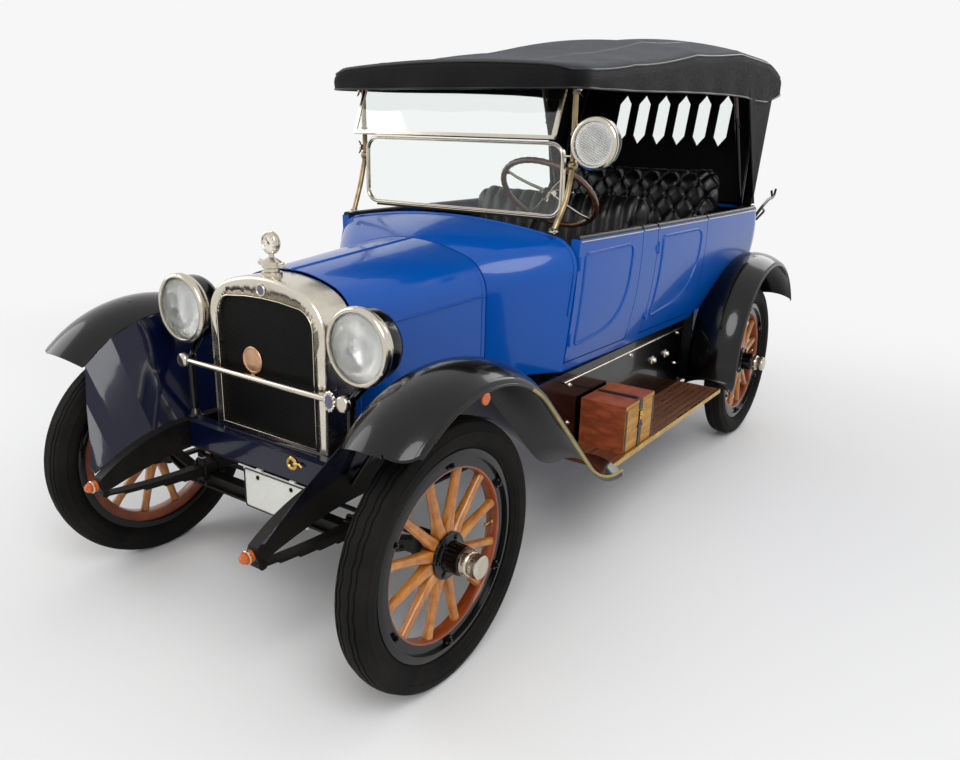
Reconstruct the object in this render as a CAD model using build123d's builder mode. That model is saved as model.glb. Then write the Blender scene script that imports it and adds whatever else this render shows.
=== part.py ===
"""A 1920s touring car with its folding top raised, as separate pieces, in millimetres.

Stations (y) are measured back from the front axle while the pieces are made. save() then
moves each piece so that the frame's origin lies on the ground under the car's middle.
+X is the car's left, -Y its front and +Z is up.
"""
from build123d import *
from math import atan2, cos, degrees, radians, sin, sqrt
import os

# Whole car
WHEELBASE = 2794
TRACK = 1430
FRONT_AXLE_Y = -1451  # from the middle of the car to its front axle
GAP = 5  # round doors and other moving panels
SIDES = (("left", 1), ("right", -1))

# Wheels
TYRE_R = 425
TYRE_W = 108
BEAD_R = 317
RIM_R = 330
FELLOE_R = 305
FELLOE_IN_R = 268
SPOKES = 12
HUB_R = 42
HUB_FLANGE_R = 74
CAP_OUT = 150  # hub cap's end, out from the wheel's middle plane
KINGPIN_X = 625
KINGPIN_R = 13
SPINDLE_R = 20
PIN_FIT = 0.05

# Frame
RAIL_X = 380  # middle of the side rails
RAIL_W = 40
RAIL_TOP = 630
RAIL_H = 100
RAIL_T = 5
HORN = (-420, 500)  # spring eye at the front
ROCKER = (600, 585)  # station and height of the steering gear's rocker shaft
BOSS_R = 21.7  # the boss that carries that shaft out through the left rail

# Body sections, as (station, half width, shoulder radius, crown angle, top)
RADIATOR = (-30, 275, 140, 20, 1182)
BONNET_FRONT = (108, 279, 140, 20, 1190)
BONNET_REAR = (724, 360, 140, 20, 1238)
COWL_FRONT = (730, 362, 140, 20, 1240)
COWL_MIDDLE = (850, 505, 132, 14, 1281)
COWL_REAR = (975, 604, 120, 10, 1312)
COWL_FEET = (362, 470, 562)  # half widths at the bottom of those three
BONNET_LOW = 722
SHEET = 3

# Body tub: height, then half width at the front and at the widest, and the rear end
TUB_LEVELS = ((740, 562, 590, 3060), (950, 590, 662, 3110), (1262, 608, 678, 3130))
TUB_FRONT = 975
TUB_CORNER_R = 240
WALL = 38
BELT = 1260
FLOOR_T = 30
FRONT_DOOR = (980, 1495)  # stations of its front and rear edges
REAR_DOOR = (1645, 2195)
DOOR_LOW = 780

# Fenders and running boards
FENDER_IN = 600
FENDER_OUT = 860
BOARD_TOP = 405
BOARD_X = (580, 806)
BOARD_Y = (962, 2239)
FRONT_ARC = (30, 500, 490)  # station and height of the centre, radius
REAR_ARC = (2794, 490, 515)

# Top
TOP_HALF = 620
TOP_SKIN = 12

os.makedirs("parts", exist_ok=True)


def save(part, label):
    """Write one piece, moved to the frame under the middle of the car."""
    placed = Location((0, FRONT_AXLE_Y, 0)) * part
    placed.label = label
    export_step(placed, f"parts/{label}.step")


def bar(start, end, radius):
    """A round bar from one point to another."""
    a, b = Vector(*start), Vector(*end)
    return Solid.make_cylinder(radius, (b - a).length, Plane(origin=a, z_dir=b - a))


def dome_middle(reach, edge, pole):
    """Middle point of an arc from a rim to its pole, centred on the axis it turns about."""
    rise = pole - edge
    radius = (reach ** 2 + rise ** 2) / (2 * rise)
    centre = pole - radius
    half_turn = (atan2(edge - centre, reach) + atan2(pole - centre, 0)) / 2
    return abs(radius) * cos(half_turn), centre + abs(radius) * sin(half_turn)


def hood_points(width, shoulder, angle, top):
    """Crown and shoulder points of a bonnet section, for its right-hand half."""
    phi = radians(angle)
    crown = (width - shoulder) / sin(phi) + shoulder
    low = top - crown + (crown - shoulder) * cos(phi)
    mid = radians(90 + angle) / 2
    centre = ((crown - shoulder) * sin(phi), low)
    joint = (crown * sin(phi), top - crown + crown * cos(phi))
    bend = (centre[0] + shoulder * sin(mid), centre[1] + shoulder * cos(mid))
    half = (crown * sin(phi / 2), top - crown + crown * cos(phi / 2))
    return joint, bend, (width, low), half


def hood_section(station, width, shoulder, angle, top, bottom, foot=None):
    """A closed section across the car: flat bottom, side walls and a crowned top."""
    foot = foot or width
    joint, bend, side, _ = hood_points(width, shoulder, angle, top)
    with BuildSketch(Plane.XZ.offset(-station)) as sketch:
        with BuildLine():
            Line((-foot, bottom), (foot, bottom))
            Line((foot, bottom), side)
            ThreePointArc(side, bend, joint)
            ThreePointArc(joint, (0, top), (-joint[0], joint[1]))
            ThreePointArc((-joint[0], joint[1]), (-bend[0], bend[1]), (-side[0], side[1]))
            Line((-side[0], side[1]), (-foot, bottom))
        make_face()
    return sketch.sketch


def half_hood_section(station, width, shoulder, angle, top, bottom, gap):
    """The thin section of one bonnet leaf, from its hinge line to its lower edge."""
    joint, bend, side, half = hood_points(width, shoulder, angle, top)
    in_joint, in_bend, in_side, in_half = hood_points(width - SHEET, shoulder - SHEET, angle, top - SHEET)
    with BuildSketch(Plane.XZ.offset(-station)) as sketch:
        with BuildLine():
            Line((gap, top - SHEET), (gap, top))
            ThreePointArc((gap, top), half, joint)
            ThreePointArc(joint, bend, side)
            Line(side, (width, bottom))
            Line((width, bottom), (width - SHEET, bottom))
            Line((width - SHEET, bottom), in_side)
            ThreePointArc(in_side, in_bend, in_joint)
            ThreePointArc(in_joint, in_half, (gap, top - SHEET))
        make_face()
    return sketch.sketch


# Frame: two channel rails with forged front horns, cross-members and step brackets
RAIL_REAR = 3205
RAIL_LOW = RAIL_TOP - RAIL_H
CROSSES = ((-60, 40), (120, 50), (950, 60), (1900, 60), (3185, 40))  # station, depth
STEP_BRACKETS = (1120, 1640, 2160)
with BuildPart() as frame:
    with BuildSketch(Plane.YZ.offset(RAIL_X - RAIL_W / 2)):
        with BuildLine():
            Polyline((-30, RAIL_LOW), (RAIL_REAR, RAIL_LOW), (RAIL_REAR, RAIL_TOP), (-60, RAIL_TOP))
            RadiusArc((-60, RAIL_TOP), (-430, HORN[1] + 22), -620)
            Polyline((-430, HORN[1] + 22), (-440, HORN[1]), (-430, HORN[1] - 22), (-396, HORN[1] - 22))
            RadiusArc((-396, HORN[1] - 22), (-30, RAIL_LOW), 1500)
        make_face()
    extrude(amount=RAIL_W)
    with BuildSketch(Plane.YZ.offset(RAIL_X - RAIL_W / 2)):
        with BuildLine():
            Polyline(
                (-30, RAIL_LOW + RAIL_T), (RAIL_REAR - RAIL_T, RAIL_LOW + RAIL_T),
                (RAIL_REAR - RAIL_T, RAIL_TOP - RAIL_T), (-30, RAIL_TOP - RAIL_T), close=True,
            )
        make_face()
    extrude(amount=RAIL_W - RAIL_T, mode=Mode.SUBTRACT)
    for station in STEP_BRACKETS:
        with BuildSketch(Plane.XZ.offset(-station)):
            with BuildLine():
                Polyline(
                    (400, 620), (408, 620), (408, 548), (560, 385),
                    (790, 385), (790, 375), (552, 375), (400, 538), close=True,
                )
            make_face()
        extrude(amount=34)
    mirror(about=Plane.YZ)
    add(bar((RAIL_X, *ROCKER), (RAIL_X + RAIL_W, *ROCKER), BOSS_R + 0.3), mode=Mode.SUBTRACT)
    for station, depth in CROSSES:
        with BuildSketch(Plane.YZ.offset(-RAIL_X - RAIL_W / 2 + 1)):
            with Locations((station, RAIL_LOW + RAIL_H / 2)):
                Rectangle(depth, RAIL_H - 2)
        extrude(amount=2 * RAIL_X + RAIL_W - 2)
save(frame.part, "frame")

# Front axle: a dropped I-beam with an upright boss at each end and a pad under each spring
BEAM_LOW = 345
BEAM_TOP = 400
BEAM_HALF = 22
BOSS_H = 60
POCKET = 15
with BuildPart() as front_axle:
    with BuildSketch(Plane.XZ.offset(BEAM_HALF)):
        with BuildLine():
            Polyline(
                (0, BEAM_LOW), (470, BEAM_LOW), (590, 400), (KINGPIN_X, 400),
                (KINGPIN_X, 448), (468, BEAM_TOP), (0, BEAM_TOP), close=True,
            )
        make_face()
    extrude(amount=-2 * BEAM_HALF)
    for face, depth in ((BEAM_HALF, -POCKET), (-BEAM_HALF, POCKET)):
        with BuildSketch(Plane.XZ.offset(face)):
            with BuildLine():
                Polyline(
                    (-1, BEAM_LOW + 9), (466, BEAM_LOW + 9), (583, 408),
                    (583, 426), (464, BEAM_TOP - 9), (-1, BEAM_TOP - 9), close=True,
                )
            make_face()
        extrude(amount=depth, mode=Mode.SUBTRACT)
    with Locations((RAIL_X, 0, BEAM_TOP - 9)):
        Box(60, 96, 18)
    with Locations((KINGPIN_X, 0, TYRE_R)):
        Cylinder(BEAM_HALF, BOSS_H)
        Cylinder(KINGPIN_R + PIN_FIT, BOSS_H + 60, mode=Mode.SUBTRACT)
    mirror(about=Plane.YZ)
save(front_axle.part, "front_axle")

# Leaf springs: half length, rise of the eyes above the middle, middle station and top
LEAF_T = 7
LEAF_W = 40
LEAVES = 5
SPRINGS = ((430, 30, 0, 435), (395, 10, WHEELBASE, 505))
with BuildPart() as leaf_springs:
    for half, rise, middle, top in SPRINGS:
        for leaf in range(LEAVES):
            reach = half * (1 - 0.18 * leaf)
            lift = rise * (reach / half) ** 2
            high = top - LEAF_T * leaf
            with BuildSketch(Plane.YZ.offset(RAIL_X - LEAF_W / 2)):
                with BuildLine():
                    ThreePointArc((middle - reach, high + lift), (middle, high), (middle + reach, high + lift))
                    Line((middle + reach, high + lift), (middle + reach, high + lift - LEAF_T))
                    ThreePointArc(
                        (middle + reach, high + lift - LEAF_T), (middle, high - LEAF_T),
                        (middle - reach, high + lift - LEAF_T),
                    )
                    Line((middle - reach, high + lift - LEAF_T), (middle - reach, high + lift))
                make_face()
            extrude(amount=LEAF_W)
        with Locations((RAIL_X, middle, top + 4)):
            Box(LEAF_W + 16, 90, 8)
        eye = 13
        for end, seat in ((-1, 478 if middle == 0 else RAIL_LOW), (1, RAIL_LOW)):
            place = middle + end * (half - eye)
            with BuildSketch(Plane.YZ.offset(RAIL_X - LEAF_W / 2)):
                with Locations((place, top + rise)):
                    Circle(eye)
                with Locations((place, (top + rise + seat) / 2)):
                    Rectangle(18, seat - top - rise)
            extrude(amount=LEAF_W)
    mirror(about=Plane.YZ)
save(leaf_springs.part, "leaf_springs")

# Rear axle: banjo housing, tubes, brake plates, spindles and the torque tube
PLATE_X = 618
with BuildPart() as rear_axle:
    with BuildSketch(Plane.XY.offset(TYRE_R)) as housing:
        with BuildLine():
            Polyline((0, WHEELBASE), (260, WHEELBASE), (260, WHEELBASE + 40), (130, WHEELBASE + 62))
            RadiusArc((130, WHEELBASE + 62), (0, WHEELBASE + 150), 150)
            Line((0, WHEELBASE + 150), (0, WHEELBASE))
        make_face()
    revolve(axis=Axis((0, WHEELBASE, TYRE_R), (1, 0, 0)))
    with BuildSketch(Plane.YZ.offset(250)):
        with Locations((WHEELBASE, TYRE_R)):
            Circle(36)
    extrude(amount=PLATE_X - 250)
    with BuildSketch(Plane.YZ.offset(PLATE_X - 8)):
        with Locations((WHEELBASE, TYRE_R)):
            Circle(150)
    extrude(amount=8)
    with BuildSketch(Plane.YZ.offset(PLATE_X)):
        with Locations((WHEELBASE, TYRE_R)):
            Circle(SPINDLE_R)
    extrude(amount=TRACK / 2 + 70 - PLATE_X)
    with Locations((RAIL_X, WHEELBASE, TYRE_R + 30)):
        Box(60, 96, 30)
    mirror(about=Plane.YZ)
    add(bar((0, 922, 494), (0, WHEELBASE - 100, 428), 28))
save(rear_axle.part, "rear_axle")

# Engine, bell and gearbox as one block
ENGINE = (260, 150, 620, 445, 1000)  # width, front, rear, low, top
GEARBOX = (190, 620, 920, 445, 690)
with BuildPart() as engine_block:
    for width, front, rear, low, top in (ENGINE, GEARBOX):
        with Locations((0, (front + rear) / 2, (low + top) / 2)):
            Box(width, rear - front, top - low)
    with Locations((0, 210, RAIL_LOW + 60)):
        Box(2 * (RAIL_X - RAIL_W / 2), 40, 40)
    with Locations(Location((0, 130, 760), (90, 0, 0))):
        Cylinder(60, 40)
    with Locations((0, 350, 1030)):
        Box(120, 380, 60)
save(engine_block.part, "engine_block")

# Exhaust: down pipe, silencer and tail pipe on the right
PIPE_R = 22
with BuildPart() as exhaust:
    with BuildLine() as pipe_line:
        FilletPolyline(
            (-131, 500, 820), (-205, 500, 820), (-205, 520, 470), (-205, 2500, 452), radius=40,
        )
    with BuildSketch(Plane(origin=(-131, 500, 820), z_dir=(-1, 0, 0))):
        Circle(PIPE_R)
    sweep()
    with Locations(Location((-205, 1500, 461), (90, 0, 0))):
        Cylinder(64, 480)
save(exhaust.part, "exhaust")

# Fuel tank: a drum across the frame behind the axle
TANK = (3060, 596, 95)
with BuildPart() as fuel_tank:
    with BuildSketch(Plane.YZ.offset(-RAIL_X + RAIL_W / 2)):
        with Locations(TANK[:2]):
            Circle(TANK[2])
    extrude(amount=2 * RAIL_X - RAIL_W)
save(fuel_tank.part, "fuel_tank")

# Road wheels: steel rim, wooden felloe and spokes, flanged hub and stepped cap
HUB_IN = -45
BORE_END = 75
with BuildPart() as road_wheel:
    with BuildSketch(Plane.XY) as wheel_rings:
        with BuildLine():
            Polyline(
                (-36, FELLOE_R), (36, FELLOE_R), (36, RIM_R), (30, RIM_R), (30, BEAD_R),
                (-30, BEAD_R), (-30, RIM_R), (-36, RIM_R), close=True,
            )
        make_face()
        with Locations((0, (FELLOE_R + FELLOE_IN_R) / 2)):
            Rectangle(48, FELLOE_R - FELLOE_IN_R)
    revolve(axis=Axis.X)
    with BuildSketch(Plane.XY) as hub_half:
        with BuildLine():
            Polyline(
                (HUB_IN, 0), (HUB_IN, HUB_R), (-30, HUB_R), (-30, HUB_FLANGE_R),
                (30, HUB_FLANGE_R), (30, 48), (84, 48), (88, 40), (112, 40), (112, 36),
                (144, 36), (CAP_OUT, 28), (CAP_OUT, 0), close=True,
            )
        make_face()
    revolve(axis=Axis.X)
    for spoke in range(SPOKES):
        turn = radians(15 + 360 / SPOKES * spoke)
        out = Vector(0, cos(turn), sin(turn))
        with BuildSketch(Plane(origin=out * 60, x_dir=(1, 0, 0), z_dir=out)):
            Ellipse(20, 17)
        with BuildSketch(Plane(origin=out * (FELLOE_IN_R + 4), x_dir=(1, 0, 0), z_dir=out)):
            Ellipse(14, 15)
        loft()
    with BuildSketch(Plane.YZ.offset(HUB_IN - 1)):
        Circle(SPINDLE_R + PIN_FIT)
    extrude(amount=BORE_END - HUB_IN + 1, mode=Mode.SUBTRACT)

# The rear wheels also carry a brake drum on the hub's inner side
DRUM_R = 158
with BuildPart() as rear_wheel:
    add(road_wheel.part)
    with BuildSketch(Plane.XY):
        with BuildLine():
            Polyline(
                (-30, 60), (-45, 60), (-45, DRUM_R - 5), (-84, DRUM_R - 5), (-84, DRUM_R),
                (-40, DRUM_R), (-40, HUB_FLANGE_R), (-30, HUB_FLANGE_R), close=True,
            )
        make_face()
    revolve(axis=Axis.X)

with BuildPart() as tyre:
    with BuildSketch(Plane.XY):
        with BuildLine():
            Line((-30, BEAD_R), (30, BEAD_R))
            Line((30, BEAD_R), (30, RIM_R + 4))
            ThreePointArc((30, RIM_R + 4), (TYRE_W / 2, 372), (38, TYRE_R - 9))
            ThreePointArc((38, TYRE_R - 9), (0, TYRE_R), (-38, TYRE_R - 9))
            ThreePointArc((-38, TYRE_R - 9), (-TYRE_W / 2, 372), (-30, RIM_R + 4))
            Line((-30, RIM_R + 4), (-30, BEAD_R))
        make_face()
    revolve(axis=Axis.X)

CORNERS = (("front", 0), ("rear", WHEELBASE))
for end, station in CORNERS:
    for side, sign in SIDES:
        corner = Location((sign * TRACK / 2, station, TYRE_R))
        wheel = road_wheel if end == "front" else rear_wheel
        for name, shape in (("wheel", wheel), ("tyre", tyre)):
            turned = shape.part if sign > 0 else mirror(shape.part, about=Plane.YZ, mode=Mode.PRIVATE)
            save(corner * turned, f"{name}_{end}_{side}")

# Spare: a tyre on its rim, on an upright carrier behind the body
SPARE = (3300, 800)
spare_place = Location((0, SPARE[0], SPARE[1]), (0, 0, 90))
save(spare_place * tyre.part, "spare_tyre")
with BuildPart() as spare_carrier:
    with BuildSketch(Plane.XY):
        with BuildLine():
            Polyline(
                (-36, FELLOE_R), (36, FELLOE_R), (36, RIM_R), (30, RIM_R), (30, BEAD_R),
                (-30, BEAD_R), (-30, RIM_R), (-36, RIM_R), close=True,
            )
        make_face()
    revolve(axis=Axis.X)
    with BuildSketch(Plane.XY):
        with Locations((-32, 282)):
            Rectangle(8, 48)
    revolve(axis=Axis.X)
with BuildPart() as carrier_bars:
    for sign in (1, -1):
        with Locations((sign * 140, 3228, 770)):
            Box(32, 10, 440)
        for high in (SPARE[1] - 225, SPARE[1] + 185):
            with Locations((sign * 140, 3249, high)):
                Box(32, 33, 40)
        with Locations((sign * 140, 3214, 575)):
            Box(32, 18, 46)
with BuildPart() as carrier:
    add(spare_place * spare_carrier.part)
    add(carrier_bars.part)
save(carrier.part, "spare_carrier")

# Steering knuckles: forked arms round the axle's boss, kingpin, spindle and track arm
FORK_T = 18
FORK_GAP = 1
WEB_X = (652, 664)
TRACK_ARM = 150
TIE_Z = 360
DRAG_ARM = 175
DRAG_Z = 492
BALL_R = 8
fork_low = TYRE_R - BOSS_H / 2 - FORK_GAP - FORK_T
fork_high = TYRE_R + BOSS_H / 2 + FORK_GAP
for side, sign in SIDES:
    with BuildPart() as knuckle:
        with Locations((KINGPIN_X, 0, TYRE_R)):
            Cylinder(KINGPIN_R, BOSS_H + 2 * FORK_GAP + 2 * FORK_T + 10)
        for low in (fork_low, fork_high):
            with BuildSketch(Plane.XY.offset(low)):
                with Locations((KINGPIN_X, 0)):
                    Circle(BEAM_HALF)
                with Locations(((KINGPIN_X + WEB_X[1]) / 2, 0)):
                    Rectangle(WEB_X[1] - KINGPIN_X, 2 * BEAM_HALF)
            extrude(amount=FORK_T)
        with Locations(((WEB_X[0] + WEB_X[1]) / 2, 0, TYRE_R)):
            Box(WEB_X[1] - WEB_X[0], 2 * BEAM_HALF, BOSS_H + 2 * FORK_GAP + 2)
        with BuildSketch(Plane.YZ.offset(WEB_X[1])):
            with Locations((0, TYRE_R)):
                Circle(SPINDLE_R)
        extrude(amount=TRACK / 2 + 70 - WEB_X[1])
        with BuildSketch(Plane.XY.offset(fork_low)):
            with Locations((KINGPIN_X, TRACK_ARM / 2)):
                Rectangle(22, TRACK_ARM)
            with Locations((KINGPIN_X, TRACK_ARM)):
                Circle(14)
        extrude(amount=14)
        with Locations((KINGPIN_X, TRACK_ARM, (TIE_Z - 16 + fork_low) / 2)):
            Cylinder(BALL_R, fork_low - TIE_Z + 16)
        if side == "left":
            with BuildSketch(Plane.XY.offset(fork_high)):
                with Locations((KINGPIN_X - DRAG_ARM / 2, 0)):
                    Rectangle(DRAG_ARM, 22)
                with Locations((KINGPIN_X - DRAG_ARM, 0)):
                    Circle(14)
            extrude(amount=14)
            with Locations((KINGPIN_X - DRAG_ARM, 0, (fork_high + DRAG_Z + 14) / 2)):
                Cylinder(BALL_R, DRAG_Z + 14 - fork_high)
    turned = knuckle.part if sign > 0 else mirror(knuckle.part, about=Plane.YZ, mode=Mode.PRIVATE)
    save(turned, f"knuckle_{side}")

# Tie rod between the track arms
EYE_R = 16
EYE_H = 20
with BuildPart() as tie_rod:
    with BuildSketch(Plane.YZ.offset(-KINGPIN_X)):
        with Locations((TRACK_ARM, TIE_Z)):
            Circle(9)
    extrude(amount=2 * KINGPIN_X)
    with Locations((KINGPIN_X, TRACK_ARM, TIE_Z), (-KINGPIN_X, TRACK_ARM, TIE_Z)):
        Cylinder(EYE_R, EYE_H)
    with Locations((KINGPIN_X, TRACK_ARM, TIE_Z)):
        Cylinder(BALL_R + PIN_FIT, 60, mode=Mode.SUBTRACT)
    with Locations((-KINGPIN_X, TRACK_ARM, TIE_Z)):
        Cylinder(BALL_R + 1, 60, mode=Mode.SUBTRACT)
save(tie_rod.part, "tie_rod")

# Drag link from the left knuckle back to the drop arm
DROP_ARM = 125
drag_x = KINGPIN_X - DRAG_ARM
drop_z = ROCKER[1] - DROP_ARM
with BuildPart() as drag_link:
    add(bar((drag_x, 0, DRAG_Z), (drag_x, ROCKER[0], drop_z), 9))
    with Locations((drag_x, 0, DRAG_Z)):
        Cylinder(EYE_R, EYE_H)
        Cylinder(BALL_R + PIN_FIT, 60, mode=Mode.SUBTRACT)
    with Locations(Location((drag_x, ROCKER[0], drop_z), (0, 90, 0))):
        Cylinder(EYE_R, EYE_H)
save(drag_link.part, "drag_link")

# Drop arm on its rocker shaft, which passes out through the left rail
SHAFT_R = 12
ARM_X = (412, 424)
with BuildPart() as drop_arm:
    with BuildSketch(Plane.YZ.offset(ARM_X[0])):
        with Locations(ROCKER):
            Circle(22)
        with Locations((ROCKER[0], ROCKER[1] - DROP_ARM / 2)):
            Rectangle(22, DROP_ARM)
        with Locations((ROCKER[0], drop_z)):
            Circle(15)
    extrude(amount=ARM_X[1] - ARM_X[0])
    add(bar((340, *ROCKER), (ARM_X[1] + 6, *ROCKER), SHAFT_R))
    add(bar((ARM_X[0], ROCKER[0], drop_z), (ARM_X[1] + 10, ROCKER[0], drop_z), BALL_R))
save(drop_arm.part, "drop_arm")

# Steering gear and column; the box stands inside the left rail
STEER_X = 310
STEER_HUB = (1250, 1400)  # station and height of the steering wheel's middle
BOX_TOP = (575, 655)
rake = atan2(STEER_HUB[1] - BOX_TOP[1], STEER_HUB[0] - BOX_TOP[0])
column_dir = Vector(0, cos(rake), sin(rake))
hub_point = Vector(STEER_X, *STEER_HUB)
column_end = hub_point - column_dir * 50
COLUMN_R = 19
STUB_R = 9
with BuildPart() as steering_column:
    with Locations((318, 595, 610)):
        Box(52, 96, 130)
    fillet(steering_column.edges().filter_by(Axis.X), radius=20)
    add(bar((STEER_X, *BOX_TOP), tuple(column_end), COLUMN_R))
    add(bar((335, *ROCKER), (406, *ROCKER), BOSS_R))
    add(bar((338, *ROCKER), (407, *ROCKER), SHAFT_R + PIN_FIT), mode=Mode.SUBTRACT)
    add(bar(tuple(column_end - column_dir * 60), tuple(column_end + column_dir), STUB_R + PIN_FIT),
        mode=Mode.SUBTRACT)
save(steering_column.part, "steering_column")

WHEEL_RIM_R = 205
with BuildPart() as steering_wheel:
    with BuildSketch(Plane(origin=hub_point, x_dir=(1, 0, 0), z_dir=column_dir)) as disc:
        Circle(30)
    extrude(amount=14, both=True)
    add(bar(tuple(column_end - column_dir * 50), tuple(hub_point), STUB_R))
    add(Location(Plane(origin=hub_point, x_dir=(1, 0, 0), z_dir=column_dir)) * Solid.make_torus(WHEEL_RIM_R, 13))
    across = Vector(1, 0, 0)
    down = column_dir.cross(across)
    for turn in (45, 135, 225, 315):
        out = across * cos(radians(turn)) + down * sin(radians(turn))
        add(bar(tuple(hub_point), tuple(hub_point + out * WHEEL_RIM_R), 8))
save(steering_wheel.part, "steering_wheel")

# Radiator: plated shell with a header tank over the core's window, and its cap
WINDOW_HALF = 228
WINDOW_LOW = 646
WINDOW_TOP = 1036
SHELL_DEPTH = 132
SHELL_ROUND = ((0, 13), (3, 6), (8, 2), (14, 0))  # behind the face, drawn in
station, half_width, shoulder, angle, top = RADIATOR
with BuildPart() as radiator_shell:
    for back, inset in SHELL_ROUND:
        add(hood_section(
            station + back, half_width - inset, shoulder - inset, angle, top - inset, RAIL_TOP,
        ))
    loft(ruled=True)
    add(hood_section(station + SHELL_ROUND[-1][0], half_width, shoulder, angle, top, RAIL_TOP))
    extrude(amount=SHELL_DEPTH - SHELL_ROUND[-1][0], dir=(0, 1, 0))
    with BuildSketch(Plane.XZ.offset(-station + 1)) as window:
        with BuildLine():
            Line((-WINDOW_HALF, WINDOW_LOW), (WINDOW_HALF, WINDOW_LOW))
            Line((WINDOW_HALF, WINDOW_LOW), (WINDOW_HALF, WINDOW_TOP - 110))
            RadiusArc((WINDOW_HALF, WINDOW_TOP - 110), (WINDOW_HALF - 90, WINDOW_TOP - 12), -98)
            ThreePointArc(
                (WINDOW_HALF - 90, WINDOW_TOP - 12), (0, WINDOW_TOP), (90 - WINDOW_HALF, WINDOW_TOP - 12),
            )
            RadiusArc((90 - WINDOW_HALF, WINDOW_TOP - 12), (-WINDOW_HALF, WINDOW_TOP - 110), -98)
            Line((-WINDOW_HALF, WINDOW_TOP - 110), (-WINDOW_HALF, WINDOW_LOW))
        make_face()
    extrude(amount=-SHELL_DEPTH - 2, mode=Mode.SUBTRACT)
save(radiator_shell.part, "radiator_shell")

CORE_FACE = 14  # the core stands this far behind the shell's face
with BuildPart() as radiator_core:
    with BuildSketch(Plane.XZ.offset(-station - CORE_FACE)):
        add(window.sketch_local.faces())
    extrude(amount=CORE_FACE - SHELL_DEPTH + 6)
save(radiator_core.part, "radiator_core")

CAP_Y = 20
with BuildPart() as radiator_cap:
    with BuildSketch(Plane.XZ.offset(-CAP_Y)):
        with BuildLine():
            Polyline(
                (0, top - 8), (34, top - 8), (34, top + 10), (26, top + 14), (26, top + 22),
                (32, top + 26), (32, top + 44), (20, top + 52), (9, top + 58), (8, top + 74),
                (0, top + 74), close=True,
            )
        make_face()
    revolve(axis=Axis((0, CAP_Y, 0), (0, 0, 1)))
    with Locations(Location((0, CAP_Y, top + 104), (90, 0, 0))):
        Cylinder(33, 14)
    with BuildSketch(Plane.XZ.offset(-CAP_Y - 6)):
        with Locations((0, top + 35)):
            SlotOverall(118, 14)
    extrude(amount=12)
    add(radiator_shell.part, mode=Mode.SUBTRACT)
save(radiator_cap.part, "radiator_cap")

# Bonnet: two leaves hinged together along the top's middle line
for side, sign in SIDES:
    with BuildPart() as leaf:
        add(half_hood_section(*BONNET_FRONT, BONNET_LOW, GAP))
        add(half_hood_section(*BONNET_REAR, BONNET_LOW, GAP))
        loft(ruled=True)
    turned = leaf.part if sign > 0 else mirror(leaf.part, about=Plane.YZ, mode=Mode.PRIVATE)
    save(turned, f"bonnet_{side}")

# Cowl: hollow, open to the cabin behind, with the firewall across its front
COWL_LOW = 740
FIREWALL_T = 12
with BuildPart() as cowl_outer:
    for section, foot in zip((COWL_FRONT, COWL_MIDDLE, COWL_REAR), COWL_FEET):
        add(hood_section(*section, BONNET_LOW if foot == COWL_FEET[0] else COWL_LOW, foot))
    loft()
with BuildPart() as cowl_inner:
    for section, foot in zip((COWL_FRONT, COWL_MIDDLE, COWL_REAR), COWL_FEET):
        place, half_width, shoulder, angle, top = section
        add(hood_section(
            place + (FIREWALL_T if place == COWL_FRONT[0] else 0), half_width - WALL, shoulder - WALL,
            angle, top - WALL / 2, COWL_LOW + FLOOR_T, foot - WALL,
        ))
    loft()
    extrude(cowl_inner.faces().sort_by(Axis.Y)[-1], amount=5)
with BuildPart() as cowl:
    add(cowl_outer.part)
    add(cowl_inner.part, mode=Mode.SUBTRACT)
    add(bar(tuple(hub_point - column_dir * 900), tuple(hub_point), COLUMN_R + 6), mode=Mode.SUBTRACT)
save(cowl.part, "cowl")


def tub_outline(level, inset):
    """Plan outline of the tub at one level, drawn in by the wall where it is the inside."""
    height, front_half, half, rear = level
    front = TUB_FRONT - (2 if inset else 0)
    front_half, half, rear = front_half - inset, half - inset, rear - inset
    corner = TUB_CORNER_R - inset
    turn = rear - corner
    bend = corner * sqrt(0.5)
    mid = (front_half * 0.36 + half * 0.64, (front + turn) / 2)
    with BuildSketch(Plane.XY.offset(height)) as sketch:
        with BuildLine():
            Line((-front_half, front), (front_half, front))
            ThreePointArc((front_half, front), mid, (half, turn))
            ThreePointArc((half, turn), (half - corner + bend, turn + bend), (half - corner, rear))
            Line((half - corner, rear), (corner - half, rear))
            ThreePointArc((corner - half, rear), (corner - half - bend, turn + bend), (-half, turn))
            ThreePointArc((-half, turn), (-mid[0], mid[1]), (-front_half, front))
        make_face()
    return sketch.sketch


# Body tub: floor, pillars, sides and rounded tail, with four door openings
with BuildPart() as tub_outer:
    for level in TUB_LEVELS:
        add(tub_outline(level, 0))
    loft()
with BuildPart() as tub_inner:
    for level, raised in zip(TUB_LEVELS, (FLOOR_T, 0, 6)):
        add(tub_outline((level[0] + raised, *level[1:]), WALL))
    loft()
with BuildPart() as tub_shell:
    add(tub_outer.part)
    add(tub_inner.part, mode=Mode.SUBTRACT)

SILL_Y = (1000, 3000)
with BuildPart() as body_tub:
    add(tub_shell.part)
    for front, rear in (FRONT_DOOR, REAR_DOOR):
        low, high = DOOR_LOW - GAP, BELT + 40
        with Locations((0, (front + rear) / 2, (low + high) / 2)):
            Box(1600, rear - front + 2 * GAP, high - low, mode=Mode.SUBTRACT)
    for sign in (1, -1):
        with Locations((sign * RAIL_X, sum(SILL_Y) / 2, (RAIL_TOP + TUB_LEVELS[0][0]) / 2)):
            Box(RAIL_W, SILL_Y[1] - SILL_Y[0], TUB_LEVELS[0][0] - RAIL_TOP)
save(body_tub.part, "body_tub")

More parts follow.
